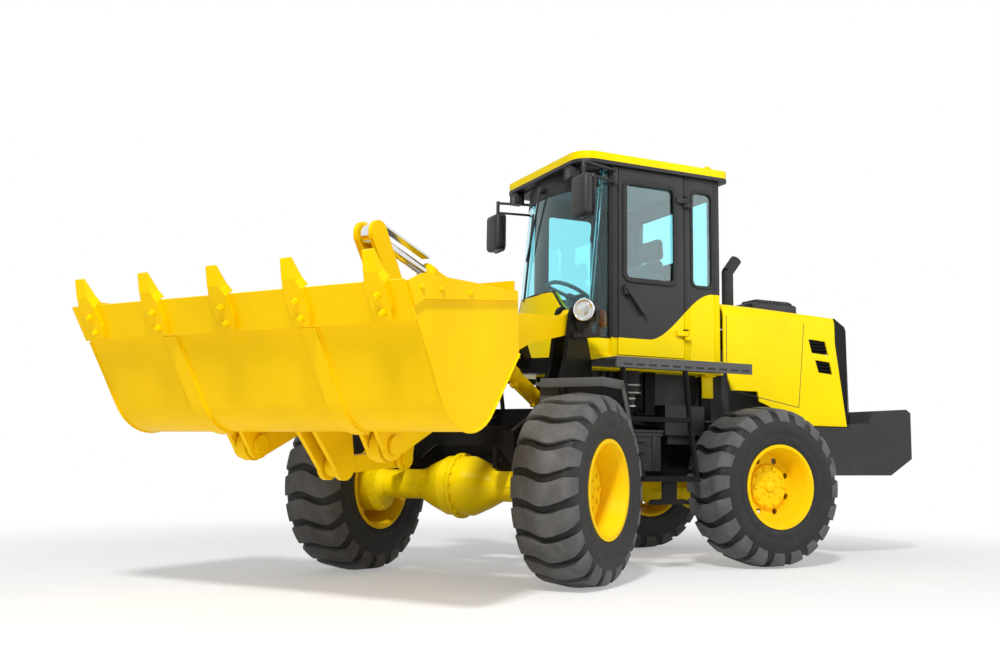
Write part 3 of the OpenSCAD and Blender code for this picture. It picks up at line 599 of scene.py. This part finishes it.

# %% [markdown]
# The ring of bars is the first bar copied and turned about the axle. Bars and body stay two pieces, because
# the bars are painted a lighter grey than the black walls, a painted highlight for the sun that falls on
# the tread. Both are copied to the four wheels, and the body stands for the plain solid there. On the right
# they are turned half round, as on a real pair.

# %% Four tyres
ring = [bar]
for i in range(1, bars):
    turned = copy_of(bar)
    settle(turned, Matrix.Rotation(i * bar_turn, 4, "Y"))
    ring.append(turned)
tread = joined(*ring)
half_turn = Matrix.Rotation(math.pi, 4, "Z")
kinds = ((tread, "tread_bars", tread_rubber_painted_lit), (tyre_body, "tyre_body", tyre_rubber))
sides = (("left", half_track, Matrix.Identity(4)), ("right", -half_track, half_turn))
for half, x, end in ends:
    for side, y, turn in sides:
        for piece, name, rubber in kinds:
            fitted = copy_of(piece)
            axes = half @ Matrix.Translation((x, y, axle_height)) @ turn
            set_down(fitted, axes, f"{name}_{end}_{side}", f"wheel_{end}_{side}", rubber, angle=40)
        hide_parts(f"tyre_{end}_{side}")
pick(tread, tyre_body)
bpy.ops.object.delete()
print("four tyres")

# %% [markdown]
# Most small fittings start from three shapes: a block with rounded edges, a round stub between two points,
# and a flat ring with rounded corners. Each is a primitive that is sized, applied and bevelled. What stands
# on one side of the machine is modelled on the left and mirrored in the middle plane of its half.

# %% Helpers for small shapes
def block(x, y, z, soft=0.006, steps=2):
    clear()
    middle = [(pair[0] + pair[1]) / 2 for pair in (x, y, z)]
    bpy.ops.mesh.primitive_cube_add(size=1, location=middle)
    piece = bpy.context.object
    piece.scale = [pair[1] - pair[0] for pair in (x, y, z)]
    apply_place()
    modify(piece, "BEVEL", width=soft, segments=steps)
    return piece


def stub(start, end, radius, soft=0.0, sides=24):
    clear()
    axis = Vector(end) - Vector(start)
    bpy.ops.mesh.primitive_cylinder_add(vertices=sides, radius=radius, depth=axis.length,
                                        location=(Vector(start) + Vector(end)) / 2,
                                        rotation=axis.to_track_quat("Z", "Y").to_euler())
    piece = bpy.context.object
    apply_place()
    if soft:
        soften(piece, soft, 2, 40)
    return piece


def flat_ring(x, z, y, corner, band, thick, soft=0.005):
    clear()
    bpy.ops.mesh.primitive_plane_add(size=1, location=((x[0] + x[1]) / 2, y, (z[0] + z[1]) / 2),
                                     rotation=(math.pi / 2, 0, 0))
    piece = bpy.context.object
    piece.scale = (x[1] - x[0], z[1] - z[0], 1)
    apply_place()
    edit_all()
    bpy.ops.mesh.bevel(offset=corner, segments=7, affect="VERTICES")
    if band:
        bpy.ops.mesh.inset(thickness=band)
        bpy.ops.mesh.delete(type="FACE")
    edit_done()
    modify(piece, "SOLIDIFY", thickness=thick, offset=0.0)
    soften(piece, soft, 2, 50)
    mend_normals(piece)
    return piece


def mirrored(piece):
    twin = copy_of(piece)
    settle(twin, Matrix.Scale(-1, 4, (0, 1, 0)))
    mend_normals(twin)
    return twin


def both_sides(piece, name, body, finish, angle=35):
    half = front_half if body == "front" else rear_half
    for side, twin in (("right", mirrored(piece)), ("left", piece)):
        rides_on = f"door_{side}" if body == "door" else body
        set_down(twin, half, f"{name}_{side}", rides_on, finish, angle=angle)


print("small shape helpers ready")

# %% [markdown]
# The side windows sit in thick rubber. A seal is a flat ring with round corners: a plane whose corners are
# bevelled in the plane, inset once, with the inside taken out and a thickness added. The door's seal has to
# swing with the door, so it rides on the door's body, and the others stay with the cab. The strip before
# the door is such a plane without a hole.

# %% Window seals
seal = flat_ring((-0.652, -0.212), (1.863, 2.562), 0.551, 0.062, 0.034, 0.016)
both_sides(seal, "door_window_seal", "door", seal_rubber)
seal = flat_ring((-0.961, -0.763), (1.867, 2.558), 0.545, 0.056, 0.023, 0.014)
both_sides(seal, "quarter_window_seal", "rear", seal_rubber)
seal = flat_ring((-0.446, 0.446), (1.867, 2.558), 1.013, 0.020, 0.028, 0.014)
across = rear_half @ swung(90, "Z")
set_down(seal, across, "rear_window_seal", "rear", seal_rubber)
seal = flat_ring((-0.172, -0.134), (1.488, 2.640), 0.5495, 0.004, 0.0, 0.006, 0.002)
both_sides(seal, "door_frame_seal", "rear", seal_rubber)
print("seven window seals")

# %% [markdown]
# The windscreen is part of a cone, and a dark band is printed along its upper edge. The band is a cone as
# well, half a millimetre outside the glass: an open cone primitive, cut to the width of the screen with
# bisections and given a thin wall. The wiper is made of stubs whose ends are found on the same cone.

# %% Windscreen band and wiper
screen_middle, screen_foot, foot_radius, screen_lean = -0.758, 1.330, 0.953, 0.0815


def screen_radius(z):
    return foot_radius - screen_lean * (z - screen_foot)


def screen_strip(low, high, reach, lift, thick):
    clear()
    bpy.ops.mesh.primitive_cone_add(vertices=192, radius1=screen_radius(low) + lift,
                                    radius2=screen_radius(high) + lift, depth=high - low,
                                    end_fill_type="NOTHING",
                                    location=(screen_middle, 0, (low + high) / 2))
    strip = bpy.context.object
    apply_place()
    bpy.ops.object.mode_set(mode="EDIT")
    for at, facing in ((reach[1], (0, 1, 0)), (reach[0], (0, -1, 0))):
        bpy.ops.mesh.select_all(action="SELECT")
        bpy.ops.mesh.bisect(plane_co=(0, at, 0), plane_no=facing, clear_outer=True)
    bpy.ops.mesh.select_all(action="SELECT")
    bpy.ops.mesh.bisect(plane_co=(-0.3, 0, 0), plane_no=(-1, 0, 0), clear_outer=True)
    edit_done()
    mend_normals(strip)
    modify(strip, "SOLIDIFY", thickness=thick, offset=1.0)
    return strip


band = screen_strip(2.500, 2.640, (-0.499, 0.499), 0.0005, 0.003)
set_down(band, rear_half, "windscreen_band", "rear", seal_rubber)


def on_screen(y, z, lift):
    reach = screen_radius(z) + lift
    return Vector((screen_middle + math.sqrt(reach * reach - y * y), y, z))


top, tip = on_screen(0.02, 2.560, 0.030), on_screen(-0.14, 2.080, 0.026)
arm = stub(top, tip, 0.007, 0.002, 12)
motor = stub(on_screen(0.02, 2.560, 0.002), on_screen(0.02, 2.560, 0.042), 0.022, 0.004)
blade = stub(on_screen(-0.12, 2.420, 0.012), on_screen(-0.16, 1.790, 0.012), 0.008, 0.002, 10)
bridge = stub(on_screen(-0.14, 2.080, 0.012), tip, 0.010, 0.002, 12)
wiper = joined(motor, blade, bridge, arm)
set_down(wiper, rear_half, "wiper", "rear", black_plastic)
print("band and wiper on the windscreen")

# %% [markdown]
# A dark liner closes the yellow roof from below and shows as a band round its edge. The glass runs round
# the front corners of the cab with no post there, so the posts are modelled again without the front pair,
# with the hinge lugs of the doors. A strip of glass set at a slant closes each corner, and a yellow sill
# lies below it.

# %% Roof liner, posts and corner glass
roof_middle, roof_long, roof_wide = -0.4775, 1.215, 1.148


def sheet(low, high, margin, soft):
    clear()
    bpy.ops.mesh.primitive_plane_add(size=1, location=(roof_middle, 0, low))
    piece = bpy.context.object
    piece.scale = (roof_long - 2 * margin, roof_wide - 2 * margin, 1)
    apply_place()
    for corner, front in ((0.135, True), (0.060, False)):
        for part in (*piece.data.edges, *piece.data.polygons):
            part.select = False
        for vertex in piece.data.vertices:
            vertex.select = (vertex.co.x > -0.5) == front
        bpy.ops.object.mode_set(mode="EDIT")
        bpy.ops.mesh.bevel(offset=corner, segments=8, affect="VERTICES")
        edit_done()
    modify(piece, "SOLIDIFY", thickness=high - low, offset=1.0)
    soften(piece, soft, 3, 50)
    mend_normals(piece)
    return piece


liner = sheet(2.641, 2.667, -0.002, 0.003)
set_down(liner, rear_half, "roof_liner", "rear", black_plastic, angle=40)
hinge = (-0.709, 0.564)
posts = [block(x, (0.503, 0.548), (1.372, 2.645), 0.006) for x in
         ((-0.176, -0.130), (-0.762, -0.714), (-1.010, -0.962))]
for z in (1.500, 2.420):
    posts += [block((-0.750, -0.709), (0.542, 0.576), (z, z + 0.024), 0.003),
              stub((*hinge, z), (*hinge, z + 0.064), 0.008, 0.001)]
both_sides(joined(*posts), "cab_post", "rear", cab_paint)
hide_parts("cab_posts")
corner = Matrix.Translation((0.0475, 0.4995, 1.372)) @ swung(-5.45, "Y") @ swung(23, "Z")
bend = block((-0.004, 0.001), (-0.001, 0.029), (0.112, 1.277), 0.001, 1)
settle(bend, corner)
both_sides(bend, "corner_glass", "rear", tinted_glass)
turn = block((-0.006, 0.004), (-0.010, 0.032), (-0.004, 0.113), 0.003)
settle(turn, corner)
sill = joined(turn, block((-0.132, 0.034), (0.518, 0.530), (1.368, 1.485), 0.003))
both_sides(sill, "corner_sill", "rear", lemon_paint)
bead = joined(block((-0.132, 0.036), (0.516, 0.533), (1.481, 1.495), 0.004),
              block((-0.136, -0.118), (0.516, 0.544), (1.485, 2.645), 0.006))
both_sides(bead, "corner_seal", "rear", seal_rubber)
print("roof liner, posts and corner glass")

# %% [markdown]
# A headlamp is a black drum with a bright rim, a domed lens and a bowl behind it. The lens is half of a
# sphere, squashed along the beam. Beside each lamp stands an amber marker. All of these sit on the drums
# that the solids already hold, so each piece only adds what faces the light.

# %% Headlamps and markers
def dome(at, radius, rise):
    clear()
    bpy.ops.mesh.primitive_uv_sphere_add(segments=32, ring_count=16, radius=radius)
    cap = bpy.context.object
    edit_all()
    bpy.ops.mesh.bisect(plane_co=(0, 0, 0), plane_no=(-1, 0, 0), clear_outer=True, use_fill=True)
    edit_done()
    cap.scale = (rise / radius, 1, 1)
    cap.location = at
    apply_place()
    mend_normals(cap)
    return cap


def hoop(at, radius, wire):
    clear()
    bpy.ops.mesh.primitive_torus_add(major_segments=48, minor_segments=12, major_radius=radius,
                                     minor_radius=wire, location=at, rotation=(0, math.pi / 2, 0))
    piece = bpy.context.object
    apply_place()
    return piece


beam = (0.540, 1.606)
trim = hoop((0.682, *beam), 0.064, 0.008)
both_sides(trim, "headlamp_rim", "front", chromed_rod, angle=60)
lens = dome((0.683, *beam), 0.062, 0.018)
both_sides(lens, "headlamp_lens", "front", headlamp_glass, angle=60)
bowl = stub((0.672, *beam), (0.6825, *beam), 0.062, 0.002, 48)
both_sides(bowl, "headlamp_bowl", "front", chromed_rod)
marker = block((0.606, 0.664), (0.632, 0.664), (1.500, 1.604), 0.008, 3)
both_sides(marker, "marker_lamp", "front", amber_lens, angle=60)
print("two headlamps with markers")

# %% [markdown]
# The work lamps under the front edge of the roof are square: a shell on a hanger, with a bezel and a ribbed
# lens in front. A mirror hangs on two arms from the door post: a rounded back, a rim, and a flat plate of
# glass with round corners that faces the seat. Both stand for the plainer solids there.

# %% Work lamps and mirrors
def facing_front(piece, x):
    settle(piece, Matrix.Translation((x, 0, 0)) @ swung(90, "Z"))
    return piece


bezel = facing_front(flat_ring((0.365, 0.455), (2.551, 2.633), 0, 0.010, 0.010, 0.012), 0.127)
shell = block((0.055, 0.125), (0.365, 0.455), (2.551, 2.633), 0.010, 3)
hanger = block((0.070, 0.100), (0.395, 0.425), (2.625, 2.650), 0.003)
both_sides(joined(bezel, shell, hanger), "work_lamp", "rear", black_plastic)
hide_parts("roof_lamps")
ribs = [block((0.121, 0.131), (0.375, 0.445), (2.561 + 0.0125 * i, 2.573 + 0.0125 * i), 0.004)
        for i in range(5)]
both_sides(joined(*ribs), "work_lamp_lens", "rear", headlamp_glass, angle=60)
glass = facing_front(flat_ring((0.563, 0.737), (2.246, 2.510), 0, 0.028, 0.0, 0.004, 0.001), 0.1185)
both_sides(glass, "mirror_glass", "rear", chromed_rod)
rim = facing_front(flat_ring((0.551, 0.749), (2.234, 2.522), 0, 0.040, 0.013, 0.010), 0.118)
back = block((0.119, 0.196), (0.556, 0.744), (2.240, 2.516), 0.030, 4)
stalk = stub((0.142, 0.640, 2.478), (0.142, 0.640, 2.624), 0.013, 0.003)
arms = [stub((-0.150, 0.558, 2.610), (0.142, 0.640, 2.610), 0.010, 0.002, 16),
        stub((-0.150, 0.558, 2.528), (0.142, 0.640, 2.536), 0.009, 0.002, 16)]
foot = block((-0.172, -0.134), (0.546, 0.562), (2.508, 2.630), 0.004)
mirror = joined(rim, back, stalk, *arms, foot)
both_sides(mirror, "mirror", "rear", black_plastic, angle=60)
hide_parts("mirrors")
print("lamps and mirrors")

# %% [markdown]
# A door needs something to pull: a long lever on a round plate, set at a slant. It swings with the door, as
# do the caps that close the hinges from above.

# %% Door handles
lever = block((-0.215, 0.020), (0.568, 0.588), (-0.017, 0.017), 0.007, 3)
settle(lever, Matrix.Translation((-0.240, 0, 1.815)) @ swung(-51, "Y"))
plate = stub((-0.240, 0.546, 1.815), (-0.240, 0.574, 1.815), 0.030, 0.004, 32)
both_sides(joined(plate, lever), "door_handle", "door", black_plastic)
caps = [stub((*hinge, z), (*hinge, z + 0.010), 0.020, 0.004) for z in (1.564, 2.484)]
both_sides(joined(*caps), "hinge_cap", "door", black_paint)
print("handles and hinge caps")

# %% [markdown]
# The hood breathes through slanted openings near its rear corners. Behind each opening lies a stack of
# blades, each a thin block turned outward. A shut line is pressed into the sheet over the rear wheel; on
# the model it is a thin dark strip lying in the paint.

# %% Hood louvres and shut lines
blades = []
for i in range(4):
    for x, z in ((-1.892, 1.490), (-1.944, 1.344)):
        blade = block((-0.095, 0.095), (-0.002, 0.002), (-0.018, 0.018), 0.001, 1)
        place = Matrix.Translation((x - 0.004 * (3 - i), 0.528, z + 0.025 * i))
        settle(blade, place @ swung(38, "X"))
        blades.append(blade)
both_sides(joined(*blades), "hood_louvres", "rear", black_paint)


def laid(start, end, y):
    slope = math.atan2(end[1] - start[1], end[0] - start[0])
    return Matrix.Translation((start[0], y, start[1])) @ Matrix.Rotation(-slope, 4, "Y")


lines = []
for start, end in (((-1.700, 1.080), (-1.060, 1.185)), ((-1.700, 1.080), (-1.760, 1.690)),
                   ((-1.064, 1.185), (-1.064, 1.700))):
    length = (Vector(end) - Vector(start)).length
    lines.append(block((0, length), (-0.003, 0.0008), (-0.0025, 0.0025), 0.0004, 1))
    settle(lines[-1], laid(start, end, 0.545))
both_sides(joined(*lines), "hood_shut_lines", "rear", seal_rubber)
print("louvres and shut lines")

# %% [markdown]
# The air pre-cleaner on the hood is a low moulded box with a domed lid and cooling ribs. The plain solid
# there is replaced: a block with generous bevels makes the body, a smaller one the lid, and a row of thin
# blocks the ribs.

# %% Air pre-cleaner
body = block((-1.836, -1.424), (0.172, 0.398), (1.756, 1.846), 0.022, 4)
lid = block((-1.800, -1.470), (0.196, 0.374), (1.835, 1.872), 0.018, 4)
ribs = [block((-1.790 + 0.036 * i, -1.776 + 0.036 * i), (0.176, 0.394), (1.790, 1.856), 0.005)
        for i in range(9)]
foot = block((-1.838, -1.422), (0.171, 0.399), (1.752, 1.782), 0.004)
cleaner = joined(body, lid, *ribs, foot)
set_down(cleaner, rear_half, "pre_cleaner", "rear", black_plastic, angle=50)
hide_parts("air_cleaner")
print("air pre-cleaner")

# %% [markdown]
# Between the running board and the frame hang the machine's service parts. The battery box gets a lid, two
# straps and grips, the brake boosters get steel rings, and black pipes lead down from them to the frame. A
# pipe is a curve with a round section, turned into a mesh when its bends are right.

# %% Under the cab
def pipe(points, radius):
    clear()
    bpy.ops.curve.primitive_bezier_curve_add()
    line = bpy.context.object
    spline = line.data.splines[0]
    spline.bezier_points.add(len(points) - 2)
    for knot, point in zip(spline.bezier_points, points):
        knot.co = point
        knot.handle_left_type = knot.handle_right_type = "AUTO"
    line.data.bevel_depth = radius
    line.data.bevel_resolution = 3
    line.data.resolution_u = 10
    line.data.use_fill_caps = True
    bpy.ops.object.convert(target="MESH")
    tube = bpy.context.object
    apply_place()
    mend_normals(tube)
    return tube


lid = block((-0.546, -0.174), (0.348, 0.536), (0.870, 0.892), 0.006, 3)
grips = [block((-0.400, -0.320), (0.528, 0.546), (0.740 + 0.07 * i, 0.756 + 0.07 * i), 0.004)
         for i in range(2)]
straps = [block((x, x + 0.030), (0.519, 0.527), (0.622, 0.872), 0.002) for x in (-0.490, -0.260)]
both_sides(joined(*grips, *straps, lid), "battery_lid", "rear", black_plastic)
rings = [stub((-0.330, 0.440, z), (-0.330, 0.440, z + 0.014), r, 0.003, 40)
         for z, r in ((1.128, 0.083), (1.180, 0.081), (1.040, 0.052), (1.090, 0.050))]
both_sides(joined(*rings), "booster_rings", "rear", pin_steel)
runs = [pipe([(-0.330, 0.440, 1.045), (-0.330, 0.445, 0.985), (-0.380, 0.430, 0.945),
              (-0.470, 0.400, 0.930), (-0.560, 0.380, 0.925), (-0.640, 0.372, 0.920)], 0.012),
        pipe([(-0.210, 0.400, 1.275), (-0.210, 0.402, 1.150), (-0.215, 0.404, 1.000),
              (-0.250, 0.420, 0.930), (-0.300, 0.440, 0.890)], 0.015),
        pipe([(-0.150, 0.392, 1.275), (-0.150, 0.396, 1.120), (-0.160, 0.400, 0.960),
              (-0.220, 0.420, 0.910), (-0.270, 0.430, 0.888)], 0.011)]
both_sides(joined(*runs), "brake_pipes", "rear", seal_rubber)
bracket = joined(block((-0.995, -0.900), (0.470, 0.482), (1.120, 1.280), 0.004),
                 block((-0.995, -0.900), (0.400, 0.520), (1.268, 1.280), 0.003))
both_sides(bracket, "cab_bracket", "rear", lemon_paint)
print("parts under the cab")

# %% [markdown]
# Steps are made so that a wet boot does not slide. The running board carries rows of pressed studs and a
# folded outer lip with slots, and each ladder step gets raised bars. One stud is a short stub, repeated by
# two array modifiers that are then applied.

# %% Tread studs on boards and steps
stud = stub((-0.965, 0.610, 1.329), (-0.965, 0.610, 1.3345), 0.011, 0.002, 12)
row(stud, 17, (0.060, 0, 0))
row(stud, 5, (0, 0.052, 0))
both_sides(stud, "board_studs", "rear", slate_paint)
slot = block((-0.985, -0.925), (0.8795, 0.8815), (1.278, 1.290), 0.0006, 1)
row(slot, 11, (0.091, 0, 0))
both_sides(slot, "board_slots", "rear", seal_rubber)
bars_at = ((-0.505, -0.055, 0.956), (-0.565, -0.160, 0.590), (-0.470, -0.230, 0.446))
grips = [block((x0, x1), (y, y + 0.008), (z - 0.002, z + 0.005), 0.002)
         for x0, x1, z in bars_at for y in (0.850, 0.868, 0.884)]
both_sides(joined(*grips), "step_grips", "rear", black_paint)
print("studs, slots and grips")

# %% [markdown]
# Bolts hold the flange of each differential, the wheel ends of the axles and the hubs. A hexagon head is a
# six-sided stub with a small bevel. A ring of bolts is one head after the other, placed round an axis. Each
# hub gets a plug and a tyre valve as well.

# %% Bolt heads
def bolt(at, along, size, height):
    direction = Vector(along).normalized()
    return stub(Vector(at) - direction * 0.004, Vector(at) + direction * height, size, 0.0015, 6)


def bolt_ring(centre, along, radius, count, size, height):
    direction = Vector(along).normalized()
    arm = direction.orthogonal().normalized() * radius
    turns = [Matrix.Rotation(2 * math.pi * i / count, 3, direction) for i in range(count)]
    return [bolt(Vector(centre) + turn @ arm, along, size, height) for turn in turns]


for half, x, end in ends:
    heads = []
    for side in (1, -1):
        heads += bolt_ring((x, side * 0.012, axle_height), (0, side, 0), 0.179, 18, 0.009, 0.008)
        wheel_end = (x, side * (half_track - 0.180), axle_height)
        heads += bolt_ring(wheel_end, (0, -side, 0), 0.145, 16, 0.010, 0.010)
    flange = stub((x, -0.012, axle_height), (x, 0.012, axle_height), 0.190, 0.003, 64)
    heads = joined(*heads, flange)
    set_down(heads, half, f"axle_bolts_{end}", end, lemon_paint, "loader_yellow")
for half, x, end in ends:
    for side, y in (("left", 1), ("right", -1)):
        def hub_point(forward, out):
            return (x + forward, y * (half_track + out), axle_height)

        hub = bolt_ring(hub_point(0, 0.058), (0, y, 0), 0.062, 8, 0.009, 0.008)
        plug = stub(hub_point(0, 0.056), hub_point(0, 0.072), 0.034, 0.004)
        valve = stub(hub_point(0.205, 0.040), hub_point(0.222, 0.105), 0.006, 0.001, 10)
        fitted = joined(*hub, valve, plug)
        names = f"hub_bolts_{end}_{side}", f"wheel_{end}_{side}"
        set_down(fitted, half, *names, amber_paint)
print("bolts on axles and hubs")

# %% [markdown]
# The seat is foam under vinyl. A pad is blown up rather than drawn: a rounded block is remeshed into even
# cells, Cloth with a little pressure swells it, and the swelling is capped so that the pad keeps its size.
# Sewn channels are pressed in afterwards, because the remesh would erase them. The pads lie on a shell, a
# pan and folded bellows.

# %% Seat
def stuffed(pad, cap, channels, width=0.012, depth=0.009):
    modify(pad, "REMESH", mode="VOXEL", voxel_size=0.008)
    before = [vertex.co.copy() for vertex in pad.data.vertices]
    pick(pad)
    cloth = pad.modifiers.new("cloth", "CLOTH")
    cloth.settings.use_pressure = True
    cloth.settings.uniform_pressure_force = 4
    cloth.settings.effector_weights.gravity = 0
    for step in range(1, 16):
        scene.frame_set(step)
    bpy.ops.object.modifier_apply(modifier="cloth")
    scene.frame_set(1)
    for vertex, old in zip(pad.data.vertices, before):
        moved = vertex.co - old
        if moved.length > cap:
            moved *= cap / moved.length
        sewn = sum(math.exp(-((old.x - at) / width) ** 2) for at in channels)
        vertex.co = old + moved - Vector((0, 0, depth * sewn if old.z > 0 else 0))
    modify(pad, "SMOOTH", iterations=2, factor=0.5)
    return pad


def lying(length, wide, thick, soft, middle, slope, channels):
    pad = block((-length / 2, length / 2), (-wide / 2, wide / 2), (-thick / 2, thick / 2), soft, 4)
    stuffed(pad, 0.012, channels)
    settle(pad, rear_half @ Matrix.Translation(middle) @ swung(slope, "Y"))
    return pad


cushion = lying(0.430, 0.450, 0.115, 0.035, (-0.570, 0, 1.576), -3, (-0.10, 0.0, 0.10))
backrest = lying(0.470, 0.430, 0.095, 0.035, (-0.765, 0, 1.890), -82, (-0.12, 0.0, 0.12))
headrest = lying(0.150, 0.240, 0.070, 0.030, (-0.812, 0, 2.220), -84, ())
for pad, name in ((cushion, "seat_cushion"), (backrest, "seat_back"), (headrest, "head_rest")):
    dress(pad, name, "rear", seat_vinyl, angle=80)
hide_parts("seat")
folds = []
for i in range(5):
    tuck, z = 0.006 * (i % 2), 1.352 + 0.024 * i
    folds.append(block((-0.745 + tuck, -0.435 - tuck), (-0.160 + tuck, 0.160 - tuck), (z, z + 0.026),
                       0.010, 3))
pan = block((-0.790, -0.350), (-0.225, 0.225), (1.472, 1.518), 0.016, 3)
base = block((-0.770, -0.410), (-0.180, 0.180), (1.330, 1.356), 0.006)
shell = block((-0.860, -0.835), (-0.200, 0.200), (1.560, 2.120), 0.010, 3)
shell_foot = Matrix.Translation((-0.85, 0, 1.56))
settle(shell, Matrix.Translation((0.030, 0, 0)) @ shell_foot @ swung(-8, "Y") @ shell_foot.inverted())
posts = [stub((-0.828, y, 2.080), (-0.842, y, 2.200), 0.008, 0.0, 12) for y in (-0.06, 0.06)]
carrier = joined(*folds, pan, base, *posts, shell)
set_down(carrier, rear_half, "seat_carrier", "rear", black_plastic, angle=50)
print("seat with three pads")

# %% [markdown]
# Through the glass one sees the controls: a console on the right with two levers, pedals on the floor, and
# a grab rail beside each door. The levers are bent tubes with a round knob. A liner under the roof and a
# mat on the floor close the room.

# %% Inside the cab
console = block((-0.720, -0.300), (-0.440, -0.300), (1.330, 1.690), 0.020, 3)
arm_pad = block((-0.720, -0.420), (-0.425, -0.315), (1.686, 1.720), 0.014, 4)
levers_at, pedals_at = (-0.370, -0.330), (-0.20, 0.20)
levers = [pipe([(x, -0.370, 1.680), (x + 0.010, -0.370, 1.760), (x - 0.020, -0.368, 1.850)], 0.008)
          for x in levers_at]
knobs = [block((x - 0.046, x + 0.002), (-0.390, -0.346), (1.838, 1.886), 0.019, 4) for x in levers_at]
pedals = [block((-0.030, 0.080), (y - 0.040, y + 0.040), (1.372, 1.392), 0.006) for y in pedals_at]
stems = [stub((0.040, y, 1.330), (0.040, y, 1.380), 0.012, 0.0, 12) for y in pedals_at]
inside = joined(console, *levers, *knobs, *pedals, *stems, arm_pad)
set_down(inside, rear_half, "cab_controls", "rear", black_plastic, angle=50)
rail = pipe([(-0.150, 0.505, 1.560), (-0.110, 0.470, 1.600), (-0.105, 0.465, 1.900),
             (-0.110, 0.470, 2.200), (-0.150, 0.505, 2.240)], 0.011)
both_sides(rail, "grab_rail", "rear", black_paint, angle=60)
head_liner = block((-1.000, 0.060), (-0.500, 0.500), (2.625, 2.643), 0.006)
set_down(head_liner, rear_half, "head_liner", "rear", grey_plastic)
floor_mat = block((-1.000, 0.150), (-0.500, 0.500), (1.330, 1.338), 0.003)
set_down(floor_mat, rear_half, "floor_mat", "rear", seal_rubber)
print("controls, rails, liner and mat")

# %% [markdown]
# The mudguards over the front wheels are folded sheets with a deep lip along the outer and the front edge,
# which keeps them stiff. Each stretch of the lip is a block laid along one fold of the guard. Between the
# cowl and the windscreen runs a rubber seal, a chain of short pipes on the cone of the screen.

# %% Mudguard lips and cowl seal
def fold(start, end, depth):
    length = (Vector(end) - Vector(start)).length
    strip = block((-0.004, length + 0.004), (0.864, 0.872), (-depth, 0.001), 0.002)
    settle(strip, laid(start, end, 0))
    return strip


lip = [fold((0.846, 1.150), (1.145, 1.150), 0.052), fold((0.732, 0.936), (0.846, 1.150), 0.045),
       fold((0.612, 0.640), (0.732, 0.936), 0.036),
       block((1.139, 1.147), (0.480, 0.872), (1.098, 1.150), 0.002)]
both_sides(joined(*lip), "mudguard_lip", "front", slate_paint)
edge = [(-0.497, 1.437), (-0.382, 1.620), (-0.232, 1.810), (0.232, 1.810), (0.382, 1.620),
        (0.497, 1.437)]
bead = []
for first, last in zip(edge, edge[1:]):
    middle = [(a + b) / 2 for a, b in zip(first, last)]
    bead.append(pipe([on_screen(*point, 0.006) for point in (first, middle, last)], 0.009))
set_down(joined(*bead), rear_half, "cowl_seal", "rear", seal_rubber, angle=60)
print("lips on the guards, a seal on the cowl")

# %% [markdown]
# Welding leaves a bead along every joint of the bucket. A bead is a thin tube along the joint, half sunk in
# the plates: straight under the floor and bent with the heel. Bolts hold the tooth adapters and the side
# cutters.

# %% Bucket welds and bolts
heel_x, heel_z, heel_radius = 0.340, 0.032, 0.251


def heel_run(y, start, end, steps=9):
    turns = [math.radians(start + (end - start) * i / (steps - 1)) for i in range(steps)]
    return [(heel_x + heel_radius * math.cos(turn), y, heel_z + heel_radius * math.sin(turn))
            for turn in turns]


def floor_run(y, start):
    return [(start, y, -0.219), (0.520, y, -0.219)]


runs = [floor_run(y, 0.700) + heel_run(y, 270, 217) for y in (-0.441, -0.359, 0.359, 0.441)]
runs += [floor_run(y, 0.690) + heel_run(y, 270, 163, 14) + [(0.214, y, 0.464)]
         for y in (-0.944, 0.944)]
runs += [heel_run(y, 157, 202, 7) for y in (-0.456, -0.344, 0.344, 0.456)]
beads = joined(*[pipe(run, 0.006) for run in runs])
set_down(beads, bucket_axes, "bucket_welds", "bucket", amber_paint, angle=60)
heads = [bolt((u, 0.410 * i, -0.275), (0, 0, -1), 0.014, 0.010)
         for u in (0.755, 0.830) for i in range(-2, 3)]
heads += [bolt((u, side * 0.955, v), (0, side, 0), 0.013, 0.008) for side in (-1, 1)
          for u, v in ((0.810, -0.150), (0.745, -0.020), (0.640, 0.180))]
set_down(joined(*heads), bucket_axes, "bucket_bolts", "bucket", amber_paint)
print("welds and bolts on the bucket")

# %% [markdown]
# A hydraulic cylinder ends in a gland, a thicker collar where the rod comes out, and takes its oil through
# ports joined by a steel pipe along the barrel. These pieces ride on the barrels, which swing as the loader
# moves, so nothing is left behind in any pose.

# %% Cylinder glands, ports and pipes
def cylinder_trim(radius, end, port, lift):
    near, far, bow, mouth = port, end - 0.085, radius + lift, radius + 0.018
    collar = stub((end - 0.055, 0, 0), (end - 0.001, 0, 0), radius + 0.007, 0.003, 48)
    ports = [block((x - 0.022, x + 0.022), (-0.020, 0.020), (radius - 0.012, radius + 0.024), 0.005)
             for x in (near, far)]
    line = pipe([(far, 0, mouth), (end - 0.130, 0.0, bow), (end - 0.200, 0, bow),
                 (near + 0.140, 0, bow), (near + 0.070, 0, bow), (near, 0, mouth)], 0.008)
    clips = [block((x - 0.010, x + 0.010), (-0.014, 0.014), (radius - 0.006, bow + 0.010), 0.003)
             for x in (near + 0.160, (near + end) / 2)]
    return joined(collar, *ports, *clips, line)


trim = cylinder_trim(0.052, 1.010, 0.130, 0.022)
axes = front_half @ laid((0.656, 1.500), (2.160, 1.840), 0) @ swung(90, "X")
set_down(trim, axes, "tilt_cylinder_trim", "tilt_barrel", amber_paint, angle=50)
trims = []
for y in (0.292, -0.292):
    trim = cylinder_trim(0.042, 0.800, 0.110, 0.020)
    settle(trim, front_half @ laid((0.430, 0.900), (1.400, 1.290), y) @ swung(180, "X"))
    trims.append(trim)
dress(joined(*trims), "lift_cylinder_trim", "lift_barrels", amber_paint, angle=50)
print("trim on three cylinders")
